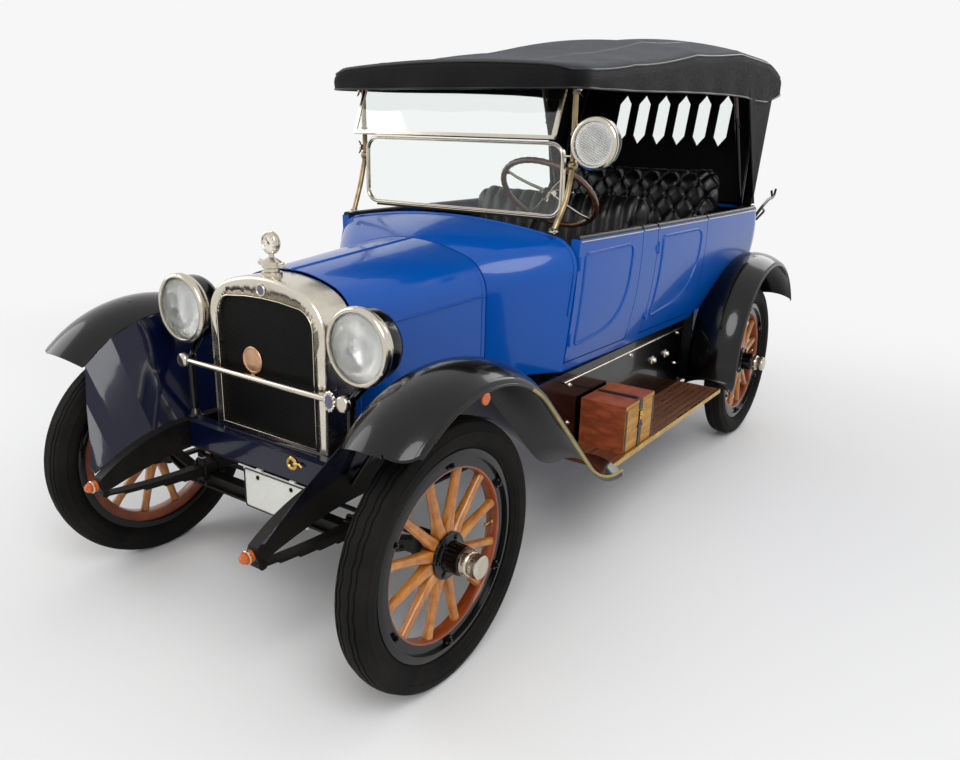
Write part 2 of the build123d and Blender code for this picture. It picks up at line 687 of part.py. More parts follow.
# Doors: the same wall as the tub, one gap smaller all round
for place, (front, rear) in (("front", FRONT_DOOR), ("rear", REAR_DOOR)):
    for side, sign in SIDES:
        with BuildPart() as door:
            add(tub_shell.part)
            with Locations((sign * 600, (front + rear) / 2, (DOOR_LOW + BELT + 20) / 2)):
                Box(300, rear - front, BELT + 20 - DOOR_LOW, mode=Mode.INTERSECT)
        save(door.part, f"door_{place}_{side}")

# Seats: a sprung cushion and a raked back as one upholstered form each
SEATS = (("front_seat", 1405, 525, 480, 1000, 1400, 60), ("rear_seat", 2400, 520, 500, 1020, 1500, 190))
for name, front, half, depth, seat_top, back_top, corner in SEATS:
    back = front + depth
    with BuildPart() as seat:
        with BuildSketch(Plane.YZ.offset(-half)):
            with BuildLine():
                Polyline(
                    (front + 30, TUB_LEVELS[0][0] + FLOOR_T), (front + 10, seat_top - 110),
                    (front, seat_top - 30), (front + 40, seat_top), (back - 90, seat_top - 25),
                    (back - 30, back_top - 40), (back, back_top), (back + 45, back_top),
                    (back + 75, back_top - 40), (back + 50, seat_top), (back + 40, TUB_LEVELS[0][0] + FLOOR_T),
                    close=True,
                )
            make_face()
        extrude(amount=2 * half)
        with BuildSketch(Plane.XY.offset(700)):
            with Locations((0, back + 75 - (depth + 400) / 2)):
                RectangleRounded(2 * half, depth + 400, corner)
        extrude(amount=900, mode=Mode.INTERSECT)
    save(seat.part, name)

# Front fenders: one thin crowned section swept along arcs from the tip to the running board
LIP = 25
CROWN = 33
FENDER_T = 4
fender_y, fender_z, fender_r = FRONT_ARC
TIP_ANGLE = radians(180 - 44)
TIP_CORNERS = ((FENDER_OUT, -1, 85), (FENDER_IN, 1, 45))  # edge, way in, radius in plan
TURN = radians(45)
tip = (fender_y + fender_r * cos(TIP_ANGLE), fender_z + fender_r * sin(TIP_ANGLE))
FOOT_R = 350
foot_turn = (BOARD_Y[0] - FOOT_R * sin(TURN), BOARD_TOP + FOOT_R * (1 - cos(TURN)))


def fender_section(plane):
    """The thin crowned section across a left fender, its outer lip turned down."""
    middle = (FENDER_IN + FENDER_OUT) / 2 - 8
    with BuildSketch(plane) as sketch:
        with BuildLine():
            ThreePointArc((FENDER_IN, -15), (middle, CROWN), (FENDER_OUT - 14, -2))
            ThreePointArc((FENDER_OUT - 14, -2), (FENDER_OUT - 4, -10), (FENDER_OUT, -LIP))
            Line((FENDER_OUT, -LIP), (FENDER_OUT - FENDER_T, -LIP))
            ThreePointArc((FENDER_OUT - FENDER_T, -LIP), (FENDER_OUT - 8, -13), (FENDER_OUT - 17, -6))
            ThreePointArc((FENDER_OUT - 17, -6), (middle, CROWN - FENDER_T), (FENDER_IN, -19))
            Line((FENDER_IN, -19), (FENDER_IN, -15))
        make_face()
    return sketch.sketch


with BuildPart() as front_fenders:
    with BuildLine() as fender_path:
        with BuildLine(Plane.YZ, mode=Mode.PRIVATE) as flat_path:
            sweep_arc = CenterArc((fender_y, fender_z), fender_r, degrees(TIP_ANGLE), degrees(TURN - TIP_ANGLE))
            Line(sweep_arc @ 1, foot_turn)
            TangentArc(foot_turn, (BOARD_Y[0], BOARD_TOP), tangent=(1, -1))
        add(flat_path.line)
    outward = Vector(0, cos(TIP_ANGLE), sin(TIP_ANGLE))
    add(fender_section(Plane(origin=(0, *tip), x_dir=(1, 0, 0), z_dir=Vector(1, 0, 0).cross(outward))))
    sweep(path=fender_path.wire())
    for edge, inward, radius in TIP_CORNERS:
        middle = (edge + inward * radius, tip[0] + radius - 12)
        with BuildSketch(Plane.XY.offset(700)):
            with Locations((edge - inward * 20 + inward * (radius + 20) / 2, middle[1] - (radius + 60) / 2)):
                Rectangle(radius + 20, radius + 60)
            with Locations(middle):
                Circle(radius, mode=Mode.SUBTRACT)
        extrude(amount=300, mode=Mode.SUBTRACT)
    mirror(about=Plane.YZ)
save(front_fenders.part, "front_fenders")

# Rear fenders: the same section over the rear wheels, down to the board in front
TAIL_ANGLE = 28
KNEE = 40
fender_y, fender_z, fender_r = REAR_ARC
with BuildPart() as rear_fenders:
    with BuildLine() as rear_path:
        with BuildLine(Plane.YZ, mode=Mode.PRIVATE) as flat_path:
            wheel_arc = CenterArc((fender_y, fender_z), fender_r, TAIL_ANGLE, 180 - TAIL_ANGLE)
            drop = Line(wheel_arc @ 1, (fender_y - fender_r, BOARD_TOP + KNEE))
            TangentArc(drop @ 1, (fender_y - fender_r - KNEE, BOARD_TOP), tangent=(0, -1))
        add(flat_path.line)
    start = radians(TAIL_ANGLE)
    outward = Vector(0, cos(start), sin(start))
    add(fender_section(Plane(
        origin=(0, fender_y + fender_r * cos(start), fender_z + fender_r * sin(start)),
        x_dir=(1, 0, 0), z_dir=Vector(1, 0, 0).cross(outward),
    )))
    sweep(path=rear_path.wire())
    mirror(about=Plane.YZ)
    add(tub_outer.part, mode=Mode.SUBTRACT)
save(rear_fenders.part, "rear_fenders")

# Front aprons from the rails to the fenders: station, height at the rail, and where the outer
# edge leaves the fender ahead of its tip (half width and height; none where it meets the fender)
APRON_T = 3
APRON_IN = RAIL_X + RAIL_W / 2
APRONS = (
    (-425, 532, (425, 545)), (-395, 546, (465, 618)), (-355, 562, (530, 728)), (-305, 579, None),
    (-200, 608, None), (-100, 624, None), (30, 628, None), (140, 628, None), (230, 628, None),
    (310, 628, None), (366, 628, None), (700, 614, None),
)
PAN = ((-34, 635), (-70, 637), (-85, 630), (-86, 600), (-88, 545))  # the panel below the radiator, from its top
PAN_HALF = 354
LEDGE = ((108, 281), (724, 362))  # station, half width under the bonnet


def fender_edge(station):
    """Height of the front fender's inner edge at a station."""
    centre_y, centre_z, radius = FRONT_ARC
    edge_r = radius - 15
    turn_y = centre_y + edge_r * cos(TURN)
    if station <= turn_y:
        return centre_z + sqrt(edge_r ** 2 - (station - centre_y) ** 2)
    return centre_z + edge_r * sin(TURN) - (station - turn_y)


with BuildPart() as front_aprons:
    for station, inner, ahead in APRONS:
        edge, outer = ahead or (FENDER_IN, fender_edge(station))
        with BuildSketch(Plane.XZ.offset(-station)):
            with BuildLine():
                Polyline(
                    (APRON_IN, inner), (edge, outer), (edge, outer - APRON_T),
                    (APRON_IN, inner - APRON_T), close=True,
                )
            make_face()
    loft(ruled=True)
    for station, half in LEDGE:
        with BuildSketch(Plane.XZ.offset(-station)):
            with BuildLine():
                Polyline(
                    (half, BONNET_LOW - 4), (APRON_IN, RAIL_TOP + 3), (APRON_IN, RAIL_TOP),
                    (half - 6, BONNET_LOW - 4), close=True,
                )
            make_face()
    loft(ruled=True)
    mirror(about=Plane.YZ)
    with BuildSketch(Plane.YZ.offset(-PAN_HALF)):
        with BuildLine():
            Polyline(*PAN, *[(y + APRON_T, z - 1) for y, z in PAN[::-1]], close=True)
        make_face()
    extrude(amount=2 * PAN_HALF)
save(front_aprons.part, "front_aprons")

# Running boards with their slats, and the upright aprons behind them
SLAT_GROOVES = 6
BOARD_T = 20
with BuildPart() as running_boards:
    with Locations((sum(BOARD_X) / 2, sum(BOARD_Y) / 2, BOARD_TOP - BOARD_T / 2)):
        Box(BOARD_X[1] - BOARD_X[0], BOARD_Y[1] - BOARD_Y[0], BOARD_T)
    pitch = (BOARD_X[1] - BOARD_X[0]) / (SLAT_GROOVES + 1)
    for groove in range(SLAT_GROOVES):
        with Locations((BOARD_X[0] + pitch * (groove + 1), sum(BOARD_Y) / 2, BOARD_TOP - 2)):
            Box(6, BOARD_Y[1] - BOARD_Y[0] - 40, 4, mode=Mode.SUBTRACT)
    mirror(about=Plane.YZ)
save(running_boards.part, "running_boards")

SPLASH_X = 574
with BuildPart() as splash_aprons:
    with BuildSketch(Plane.YZ.offset(SPLASH_X)):
        with BuildLine():
            Polyline(
                (760, 470), (BOARD_Y[0], BOARD_TOP - BOARD_T), (2270, BOARD_TOP - BOARD_T),
                (2270, 736), (760, 736), close=True,
            )
        make_face()
    extrude(amount=4)
    for station in (1000, 1500, 2000, 2240):
        with Locations(((APRON_IN + SPLASH_X) / 2, station, 722)):
            Box(SPLASH_X - APRON_IN, 30, 6)
    with Locations((APRON_IN + 1.5, 1620, 680)):
        Box(3, 1280, 90)
    mirror(about=Plane.YZ)
save(splash_aprons.part, "splash_aprons")

# Windscreen: two stanchions and the bright frames of two panes, the upper one tilted
POST_X = 522
POST_R = 9
FRAME_R = 7
SCREEN_Y = 1030
LOWER = (490, 1334, 1604)  # half width, low, high
UPPER_LOW = (488, 948, 1625)  # half width, station, height
UPPER_HIGH = (488, 1030, 1830)
POST_PATH = ((POST_X - 14, 950, 1290), (POST_X, 1010, 1400), (POST_X, 1045, 1525), (POST_X, 1040, 1850))
with BuildPart() as windscreen_frame:
    for sign in (1, -1):
        points = [(sign * x, y, z) for x, y, z in POST_PATH]
        for start, end in zip(points, points[1:]):
            add(bar(start, end, POST_R))
        for point in points[1:3]:
            with Locations(point):
                Sphere(POST_R if point == points[1] else 17)
        add(bar((sign * POST_X, 1040, 1825), (sign * POST_X, 1040, 1858), 15))
        add(bar((sign * LOWER[0], SCREEN_Y, 1560), (sign * POST_X, 1044, 1560), 6))
        add(bar((sign * UPPER_HIGH[0], *UPPER_HIGH[1:]), (sign * POST_X, 1040, UPPER_HIGH[2]), 6))
    with BuildSketch(Plane.XZ.offset(-SCREEN_Y - FRAME_R)):
        with Locations((0, (LOWER[1] + LOWER[2]) / 2)):
            RectangleRounded(2 * LOWER[0] + 14, LOWER[2] - LOWER[1] + 14, 60)
            RectangleRounded(2 * LOWER[0] - 14, LOWER[2] - LOWER[1] - 14, 46, mode=Mode.SUBTRACT)
    extrude(amount=2 * FRAME_R)
    tilt = Vector(0, UPPER_HIGH[1] - UPPER_LOW[1], UPPER_HIGH[2] - UPPER_LOW[2])
    middle = Vector(0, (UPPER_HIGH[1] + UPPER_LOW[1]) / 2, (UPPER_HIGH[2] + UPPER_LOW[2]) / 2)
    upper_plane = Plane(origin=middle, x_dir=(1, 0, 0), z_dir=Vector(1, 0, 0).cross(tilt))
    with BuildSketch(upper_plane):
        Rectangle(2 * UPPER_LOW[0] + 14, tilt.length + 14)
        Rectangle(2 * UPPER_LOW[0] - 14, tilt.length - 14, mode=Mode.SUBTRACT)
    extrude(amount=FRAME_R, both=True)
    add(cowl_outer.part, mode=Mode.SUBTRACT)
save(windscreen_frame.part, "windscreen_frame")

GLASS_T = 6
with BuildPart() as windscreen_glass:
    with BuildSketch(Plane.XZ.offset(-SCREEN_Y - GLASS_T / 2)):
        with Locations((0, (LOWER[1] + LOWER[2]) / 2)):
            RectangleRounded(2 * LOWER[0] - 14, LOWER[2] - LOWER[1] - 14, 46)
    extrude(amount=GLASS_T)
    with BuildSketch(upper_plane):
        Rectangle(2 * UPPER_LOW[0] - 14, tilt.length - 14)
    extrude(amount=GLASS_T / 2, both=True)
save(windscreen_glass.part, "windscreen_glass")

# Folding top: crowned roof with its valance, quarter panels and a rear curtain with six lights
ROOF = (  # station, lower edge of the valance, height where the side meets the crown, crown
    (900, 1790, 1878, 1902), (1350, 1800, 1926, 1966), (2000, 1824, 2014, 2076),
    (2600, 1836, 2066, 2136), (3100, 1828, 2056, 2118), (3380, 1885, 1990, 2030),
)
ROOF_SHOULDER = 62
ROOF_CORNERS = (95, 60)  # radius in plan at the front and at the rear
CURTAIN_LOW = BELT + 2
CURTAIN_TOP = 1990
CURTAIN_REAR = (3112, 3335)  # at its foot and at its head
CURTAIN_HALF = (655, 606)
CURTAIN_CORNER = (225, 90)
QUARTER = ((2955, CURTAIN_LOW), (2740, CURTAIN_TOP))  # front edge of the quarter panels
LIGHTS = 6
LIGHT_PITCH = 130
LIGHT_Z = 1730
LIGHT_SIZE = (84, 300, 190)  # width, full height, height of its straight sides


def roof_section(station, low, shoulder, crown, inset):
    """A closed section across the roof: upright sides, round shoulders and a crown."""
    half = TOP_HALF - inset
    radius = ROOF_SHOULDER - inset
    bend = radius * (1 - sqrt(0.5))
    with BuildSketch(Plane.XZ.offset(-station)) as sketch:
        with BuildLine():
            Line((-half, low), (half, low))
            Line((half, low), (half, shoulder - radius))
            ThreePointArc((half, shoulder - radius), (half - bend, shoulder - bend), (half - radius, shoulder))
            ThreePointArc((half - radius, shoulder), (0, crown), (radius - half, shoulder))
            ThreePointArc((radius - half, shoulder), (bend - half, shoulder - bend), (-half, shoulder - radius))
            Line((-half, shoulder - radius), (-half, low))
        make_face()
    return sketch.sketch


def roof_block(inset):
    """The roof's outer form, or its inside when drawn in by the skin."""
    front, rear = ROOF[0][0], ROOF[-1][0]
    with BuildPart() as block:
        for station, low, shoulder, crown in ROOF:
            low = low - 2 if inset else low
            add(roof_section(station, low, shoulder - inset, crown - inset, inset))
        loft()
        with BuildSketch(Plane.XY.offset(1700)):
            with BuildLine():
                half, fore, aft = TOP_HALF - inset, front + inset, rear - inset
                a, b = (corner - inset for corner in ROOF_CORNERS)
                c, d = a * (1 - sqrt(0.5)), b * (1 - sqrt(0.5))
                Line((a - half, fore), (half - a, fore))
                ThreePointArc((half - a, fore), (half - c, fore + c), (half, fore + a))
                Line((half, fore + a), (half, aft - b))
                ThreePointArc((half, aft - b), (half - d, aft - d), (half - b, aft))
                Line((half - b, aft), (b - half, aft))
                ThreePointArc((b - half, aft), (d - half, aft - d), (-half, aft - b))
                Line((-half, aft - b), (-half, fore + a))
                ThreePointArc((-half, fore + a), (c - half, fore + c), (a - half, fore))
            make_face()
        extrude(amount=600, mode=Mode.INTERSECT)
    return block.part


def curtain_block(inset):
    """The block inside the quarter panels and rear curtain, from the belt to the roof."""
    with BuildPart() as block:
        for height, half, rear, corner in zip(
            (CURTAIN_LOW - (1 if inset else 0), CURTAIN_TOP), CURTAIN_HALF, CURTAIN_REAR, CURTAIN_CORNER,
        ):
            side, back, radius = half - inset, rear - inset, corner - inset
            bend = radius * (1 - sqrt(0.5))
            with BuildSketch(Plane.XY.offset(height)):
                with BuildLine():
                    Line((-side, 2500), (side, 2500))
                    Line((side, 2500), (side, back - radius))
                    ThreePointArc((side, back - radius), (side - bend, back - bend), (side - radius, back))
                    Line((side - radius, back), (radius - side, back))
                    ThreePointArc((radius - side, back), (bend - side, back - bend), (-side, back - radius))
                    Line((-side, back - radius), (-side, 2500))
                make_face()
        loft(ruled=True)
    return block.part


with BuildPart() as canopy:
    add(curtain_block(0))
    add(curtain_block(TOP_SKIN), mode=Mode.SUBTRACT)
    with BuildSketch(Plane.YZ.offset(-800)):
        with BuildLine():
            Polyline(QUARTER[0], (QUARTER[0][0], 1200), (2400, 1200), (2400, 2100), QUARTER[1], close=True)
        make_face()
    extrude(amount=1600, mode=Mode.SUBTRACT)
    with BuildSketch(Plane.XZ.offset(-3500)):
        wide, tall, straight = (size / 2 for size in LIGHT_SIZE)
        with BuildLine():
            Polyline(
                (-wide, -straight), (0, -tall), (wide, -straight),
                (wide, straight), (0, tall), (-wide, straight), close=True,
            )
        light = make_face(mode=Mode.PRIVATE)
        for step in range(LIGHTS):
            with Locations(((step - (LIGHTS - 1) / 2) * LIGHT_PITCH, LIGHT_Z)):
                add(light)
    extrude(amount=500, mode=Mode.SUBTRACT)
    add(roof_block(0))
    add(roof_block(TOP_SKIN), mode=Mode.SUBTRACT)
save(canopy.part, "canopy")

# Bows: three sockets a side fan out from a pivot at the belt, and six bows cross the roof
BOW_R = 12
SOCKET_R = 10
SLAT_R = 8
BOW_HALF = 572
BOW_LOW = (2940, 1235)
BOW_DROP = (30, 36)  # from the cloth's outer face to a bow's middle line, at crown and shoulder
FRONT_BOW = 966
REAR_BOW = 3260
SIDE_BOWS = (2600, 3100, REAR_BOW)  # stations of the bows that the sockets carry


def bow_heights(station):
    """Heights of a bow's middle line at its ends and its middle."""
    for low, high in zip(ROOF, ROOF[1:]):
        if station <= high[0]:
            share = (station - low[0]) / (high[0] - low[0])
            shoulder, crown = (low[i] + share * (high[i] - low[i]) for i in (2, 3))
            return shoulder - BOW_DROP[1], crown - BOW_DROP[0]


with BuildPart() as canopy_bows:
    bows = (FRONT_BOW, ROOF[1][0], ROOF[2][0], *SIDE_BOWS)
    for station in bows:
        end, middle = bow_heights(station)
        with BuildLine() as bow:
            tips = BOW_HALF + BOW_R
            ThreePointArc((-tips, station, end), (0, station, middle), (tips, station, end))
        with BuildSketch(Plane(origin=bow.line @ 0, z_dir=bow.line % 0)):
            Circle(BOW_R)
        sweep(path=bow.wire())
    for sign in (-1, 1):
        heads = [(sign * BOW_HALF, station, bow_heights(station)[0] + 1) for station in bows]
        for head in heads[3:]:
            add(bar((sign * (BOW_HALF + 15), *BOW_LOW), head, SOCKET_R))
        for start, end in zip(heads[:3], heads[1:4]):
            add(bar(start, end, SLAT_R))
        add(bar((sign * (BOW_HALF - 2), *BOW_LOW), (sign * (BOW_HALF + 90), *BOW_LOW), 17))
    add(tub_shell.part, mode=Mode.SUBTRACT)
save(canopy_bows.part, "canopy_bows")

# Headlamps: hollow drums on posts from the horns, joined by the tie bar before the radiator
LAMP_X = 417
LAMP_Y = 35
LAMP_Z = 1020
LAMP_R = 125
BOWL_DEPTH = 48  # the reflector's pole, behind the lamp's middle
LAMP_POST_X = RAIL_X + 5
LAMP_POST_Y = -35
TIE_BAR_Z = 845
TIE_BAR_Y = -62
with BuildPart() as headlamps:
    with BuildSketch(Plane.XY.offset(LAMP_Z)):
        with BuildLine():
            Polyline(
                (LAMP_X, LAMP_Y + 62), (LAMP_X + 36, LAMP_Y + 59), (LAMP_X + 78, LAMP_Y + 44),
                (LAMP_X + 104, LAMP_Y + 22), (LAMP_X + LAMP_R - 12, LAMP_Y),
            )
            Polyline(
                (LAMP_X + LAMP_R - 12, LAMP_Y), (LAMP_X + LAMP_R - 12, LAMP_Y - 52),
                (LAMP_X + LAMP_R, LAMP_Y - 54), (LAMP_X + LAMP_R, LAMP_Y - 72),
                (LAMP_X + LAMP_R - 8, LAMP_Y - 80), (LAMP_X + LAMP_R - 16, LAMP_Y - 80),
                (LAMP_X + LAMP_R - 16, LAMP_Y - 60),
            )
            bowl_x, bowl_y = dome_middle(LAMP_R - 16, -60, BOWL_DEPTH)
            ThreePointArc(
                (LAMP_X + LAMP_R - 16, LAMP_Y - 60), (LAMP_X + bowl_x, LAMP_Y + bowl_y),
                (LAMP_X, LAMP_Y + BOWL_DEPTH),
            )
            Line((LAMP_X, LAMP_Y + BOWL_DEPTH), (LAMP_X, LAMP_Y + 62))
        make_face()
    revolve(axis=Axis((LAMP_X, LAMP_Y, LAMP_Z), (0, 1, 0)))
    post = (LAMP_POST_X, LAMP_POST_Y)
    add(bar((*post, RAIL_TOP), (*post, TIE_BAR_Z), 13))
    add(bar((*post, TIE_BAR_Z), (LAMP_X, LAMP_Y + 2, LAMP_Z - LAMP_R + 22), 12))
    with Locations(Location((LAMP_POST_X, TIE_BAR_Y - 6, TIE_BAR_Z), (90, 0, 0))):
        Cylinder(26, 22)
    add(bar((LAMP_POST_X, TIE_BAR_Y, TIE_BAR_Z), (*post, TIE_BAR_Z), 13))
    mirror(about=Plane.YZ)
    add(bar((-LAMP_POST_X, TIE_BAR_Y, TIE_BAR_Z), (LAMP_POST_X, TIE_BAR_Y, TIE_BAR_Z), 10))
save(headlamps.part, "headlamps")

LENS_T = 5
LENS_R = LAMP_R - 16.2
lens_x, lens_y = dome_middle(LENS_R, 72, 84)
with BuildPart() as headlamp_lenses:
    with BuildSketch(Plane.XY.offset(LAMP_Z)):
        with BuildLine():
            Line((LAMP_X, LAMP_Y - 84), (LAMP_X, LAMP_Y - 84 + LENS_T))
            ThreePointArc(
                (LAMP_X, LAMP_Y - 84 + LENS_T), (LAMP_X + lens_x, LAMP_Y - lens_y + LENS_T),
                (LAMP_X + LENS_R, LAMP_Y - 72 + LENS_T),
            )
            Line((LAMP_X + LENS_R, LAMP_Y - 72 + LENS_T), (LAMP_X + LENS_R, LAMP_Y - 72))
            ThreePointArc(
                (LAMP_X + LENS_R, LAMP_Y - 72), (LAMP_X + lens_x, LAMP_Y - lens_y), (LAMP_X, LAMP_Y - 84),
            )
        make_face()
    revolve(axis=Axis((LAMP_X, LAMP_Y, LAMP_Z), (0, 1, 0)))
    mirror(about=Plane.YZ)
save(headlamp_lenses.part, "headlamp_lenses")

# Spotlight on a bracket from the left stanchion
SPOT = (672, 950, 1610)
SPOT_R = 92
with BuildPart() as spotlight:
    with BuildSketch(Plane.XY.offset(SPOT[2])):
        with BuildLine():
            Polyline(
                (SPOT[0], SPOT[1] - 30), (SPOT[0] + SPOT_R - 18, SPOT[1] - 34),
                (SPOT[0] + SPOT_R - 16, SPOT[1] - 44), (SPOT[0] + SPOT_R, SPOT[1] - 40),
                (SPOT[0] + SPOT_R, SPOT[1] - 10), (SPOT[0] + SPOT_R - 14, SPOT[1]),
            )
            bowl_x, bowl_y = dome_middle(SPOT_R - 14, 0, 86)
            ThreePointArc(
                (SPOT[0] + SPOT_R - 14, SPOT[1]), (SPOT[0] + bowl_x, SPOT[1] + bowl_y),
                (SPOT[0], SPOT[1] + 86),
            )
            Line((SPOT[0], SPOT[1] + 86), (SPOT[0], SPOT[1] - 30))
        make_face()
    revolve(axis=Axis(SPOT, (0, 1, 0)))
    add(bar((SPOT[0] - 40, SPOT[1] + 20, SPOT[2]), (POST_X + 6, 1042, SPOT[2]), 10))
    with Locations((POST_X + 18, 1042, SPOT[2])):
        Box(18, 40, 44)
    add(windscreen_frame.part, mode=Mode.SUBTRACT)
save(spotlight.part, "spotlight")

# Side and front marker lamps: on the horn tips and the front fenders
with BuildPart() as marker_lamps:
    with Locations(Location((RAIL_X, -450, 498), (90, 0, 0))):
        Cylinder(19, 20)
    with Locations(Location((RAIL_X, -462, 498))):
        Sphere(16)
    add(bar((FENDER_OUT - 4, 0, 945), (FENDER_OUT + 1, 0, 945), 18))
    mirror(about=Plane.YZ)
    add(frame.part, mode=Mode.SUBTRACT)
    add(front_fenders.part, mode=Mode.SUBTRACT)
save(marker_lamps.part, "marker_lamps")

# Number plate, blank, hung on two straps from the first cross-member
PLATE = (90, -93, 463)
with BuildPart() as number_plate:
    with Locations(PLATE):
        Box(300, 4, 146)
    for x in (PLATE[0] - 80, PLATE[0] + 80):
        with Locations((x, -85.5, 513)):
            Box(24, 11, 56)
save(number_plate.part, "number_plate")

# Toolbox with a hinged lid on the left running board
TOOLBOX = (590, 790, 1105, 1385, 606)  # x, x, front, rear, top
BOX_WALL = 10
LID_T = 16
with BuildPart() as toolbox:
    x_in, x_out, front, rear, high = TOOLBOX
    middle = ((x_in + x_out) / 2, (front + rear) / 2)
    with BuildSketch(Plane.XY.offset(BOARD_TOP)):
        with Locations(middle):
            Rectangle(x_out - x_in, rear - front)
    extrude(amount=high - LID_T - BOARD_TOP)
    with BuildSketch(Plane.XY.offset(BOARD_TOP + BOX_WALL)):
        with Locations(middle):
            Rectangle(x_out - x_in - 2 * BOX_WALL, rear - front - 2 * BOX_WALL)
    extrude(amount=high, mode=Mode.SUBTRACT)
save(toolbox.part, "toolbox")
with BuildPart() as toolbox_lid:
    with BuildSketch(Plane.XY.offset(high - LID_T + 0.5)):
        with Locations(middle):
            Rectangle(x_out - x_in, rear - front)
    extrude(amount=LID_T - 0.5)
save(toolbox_lid.part, "toolbox_lid")
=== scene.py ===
import math

import bmesh
import bpy
from mathutils import Matrix, Vector
from mathutils.bvhtree import BVHTree


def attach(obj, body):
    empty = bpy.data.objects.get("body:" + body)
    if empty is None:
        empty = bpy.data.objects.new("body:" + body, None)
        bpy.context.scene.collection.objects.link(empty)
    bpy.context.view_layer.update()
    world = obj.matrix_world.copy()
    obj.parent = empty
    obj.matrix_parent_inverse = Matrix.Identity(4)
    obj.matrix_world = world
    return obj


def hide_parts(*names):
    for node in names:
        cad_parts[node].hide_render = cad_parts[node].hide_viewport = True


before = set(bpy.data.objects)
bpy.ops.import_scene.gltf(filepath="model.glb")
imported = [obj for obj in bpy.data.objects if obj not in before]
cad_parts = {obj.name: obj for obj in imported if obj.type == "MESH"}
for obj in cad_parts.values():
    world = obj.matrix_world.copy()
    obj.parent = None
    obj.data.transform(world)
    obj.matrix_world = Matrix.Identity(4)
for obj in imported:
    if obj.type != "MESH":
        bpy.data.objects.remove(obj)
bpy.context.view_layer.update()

# The viewpoint. Somebody stands close to the car's left front corner, at eye height, with a
# lens that takes in the whole car, tipped down by 17 degrees and turned 1.5 degrees in roll.
# Places are given as: left of the middle, back from the front axle, up from the ground.
FRONT_AXLE = -1.451
EYE = (2.034, -1.758, 1.650)
ROLL = math.radians(1.49)
SENSOR = 36
FOCAL, PICTURE_WIDTH = 815, 960  # the lens's focal length and the picture's width, in pixels
UP = Vector((0, 0, 1))


def at(x, station, z):
    """A place on the car, in metres."""
    return Vector((x, station + FRONT_AXLE, z))


def placed(x_axis, y_axis, z_axis, origin):
    """A place with its own three axes."""
    where = Matrix((x_axis, y_axis, z_axis)).transposed().to_4x4()
    where.translation = origin
    return where


ahead = Vector((-0.5378, 0.7900, -0.2944)).normalized()
level = ahead.cross(UP).normalized()
rightward = level * math.cos(ROLL) + level.cross(ahead) * math.sin(ROLL)
camera_data = bpy.data.cameras.new("viewpoint")
camera_data.sensor_width = SENSOR
camera_data.lens = SENSOR * FOCAL / PICTURE_WIDTH
camera = bpy.data.objects.new("viewpoint", camera_data)
camera.matrix_world = placed(rightward, rightward.cross(ahead), -ahead, at(*EYE))
bpy.context.scene.collection.objects.link(camera)
bpy.context.scene.camera = camera


# Frame, axles, springs and steering links: pressed and forged steel, brushed with chassis
# black and left with a film of road dust that lies thickest low down.
def tint(red, green, blue):
    """A colour as it looks on a screen, 0 to 255, as a shader colour."""
    return (*((v / 255) ** 2.2 for v in (red, green, blue)), 1)


def add_node(tree, kind, sockets=None, **settings):
    """One shader node, its sockets given values or fed by other sockets."""
    node = tree.nodes.new("ShaderNode" + kind)
    for label, value in settings.items():
        setattr(node, label, value)
    for label, value in (sockets or {}).items():
        if isinstance(value, bpy.types.NodeSocket):
            tree.links.new(value, node.inputs[label])
        else:
            node.inputs[label].default_value = value
    return node


def reckon(tree, operation, *values, clamp=False):
    """The result of one Math node."""
    return add_node(tree, "Math", dict(enumerate(values)), operation=operation, use_clamp=clamp).outputs[0]


def spread(tree, value, low, high, **more):
    """A value stretched so that low becomes 0 and high becomes 1."""
    return add_node(tree, "MapRange", {"Value": value, "From Min": low, "From Max": high,
                                       **more}).outputs[0]


def blend(tree, amount, one, other):
    """A mixture of two colours."""
    return add_node(tree, "Mix", {0: amount, 6: one, 7: other}, data_type="RGBA").outputs[2]


def noise(tree, place, scale, detail, **more):
    """Cloudy noise over a place."""
    return add_node(tree, "TexNoise", {"Vector": place, "Scale": scale, "Detail": detail,
                                       **more}).outputs[0]


def new_effect(name, inputs):
    """A node group with named inputs, what comes in by them, and the place on the object."""
    group = bpy.data.node_groups.new(name, "ShaderNodeTree")
    for label, value in inputs.items():
        kind = "Float" if isinstance(value, float) else {3: "Vector", 4: "Color"}[len(value)]
        socket = group.interface.new_socket(name=label, in_out="INPUT", socket_type="NodeSocket" + kind)
        socket.default_value = value
    for label, kind in (("Color", "Color"), ("Roughness", "Float"), ("Height", "Float")):
        group.interface.new_socket(name=label, in_out="OUTPUT", socket_type="NodeSocket" + kind)
    return group, group.nodes.new("NodeGroupInput").outputs, add_node(group, "TexCoord").outputs["Object"]


def lead_out(group, color, roughness, height):
    """Join an effect's colour, roughness and height to the group's outputs."""
    ways_out = group.nodes.new("NodeGroupOutput").inputs
    for label, value in (("Color", color), ("Roughness", roughness), ("Height", height)):
        group.links.new(value, ways_out[label])


def finish(name, effect=None, values=None, bump=0.0, **shader_values):
    """A finish: plain values on the shader, and one effect's colour, roughness and height."""
    material = bpy.data.materials.new(name)
    material.use_nodes = True
    tree = material.node_tree
    shader = tree.nodes["Principled BSDF"]
    for label, value in shader_values.items():
        shader.inputs[label.replace("_", " ")].default_value = value
    if effect:
        made = tree.nodes.new("ShaderNodeGroup")
        made.node_tree = effect
        for label, value in (values or {}).items():
            made.inputs[label].default_value = value
        tree.links.new(made.outputs["Color"], shader.inputs["Base Color"])
        tree.links.new(made.outputs["Roughness"], shader.inputs["Roughness"])
        if bump:
            relief = add_node(tree, "Bump", {"Height": made.outputs["Height"], "Distance": bump})
            tree.links.new(relief.outputs["Normal"], shader.inputs["Normal"])
    return material


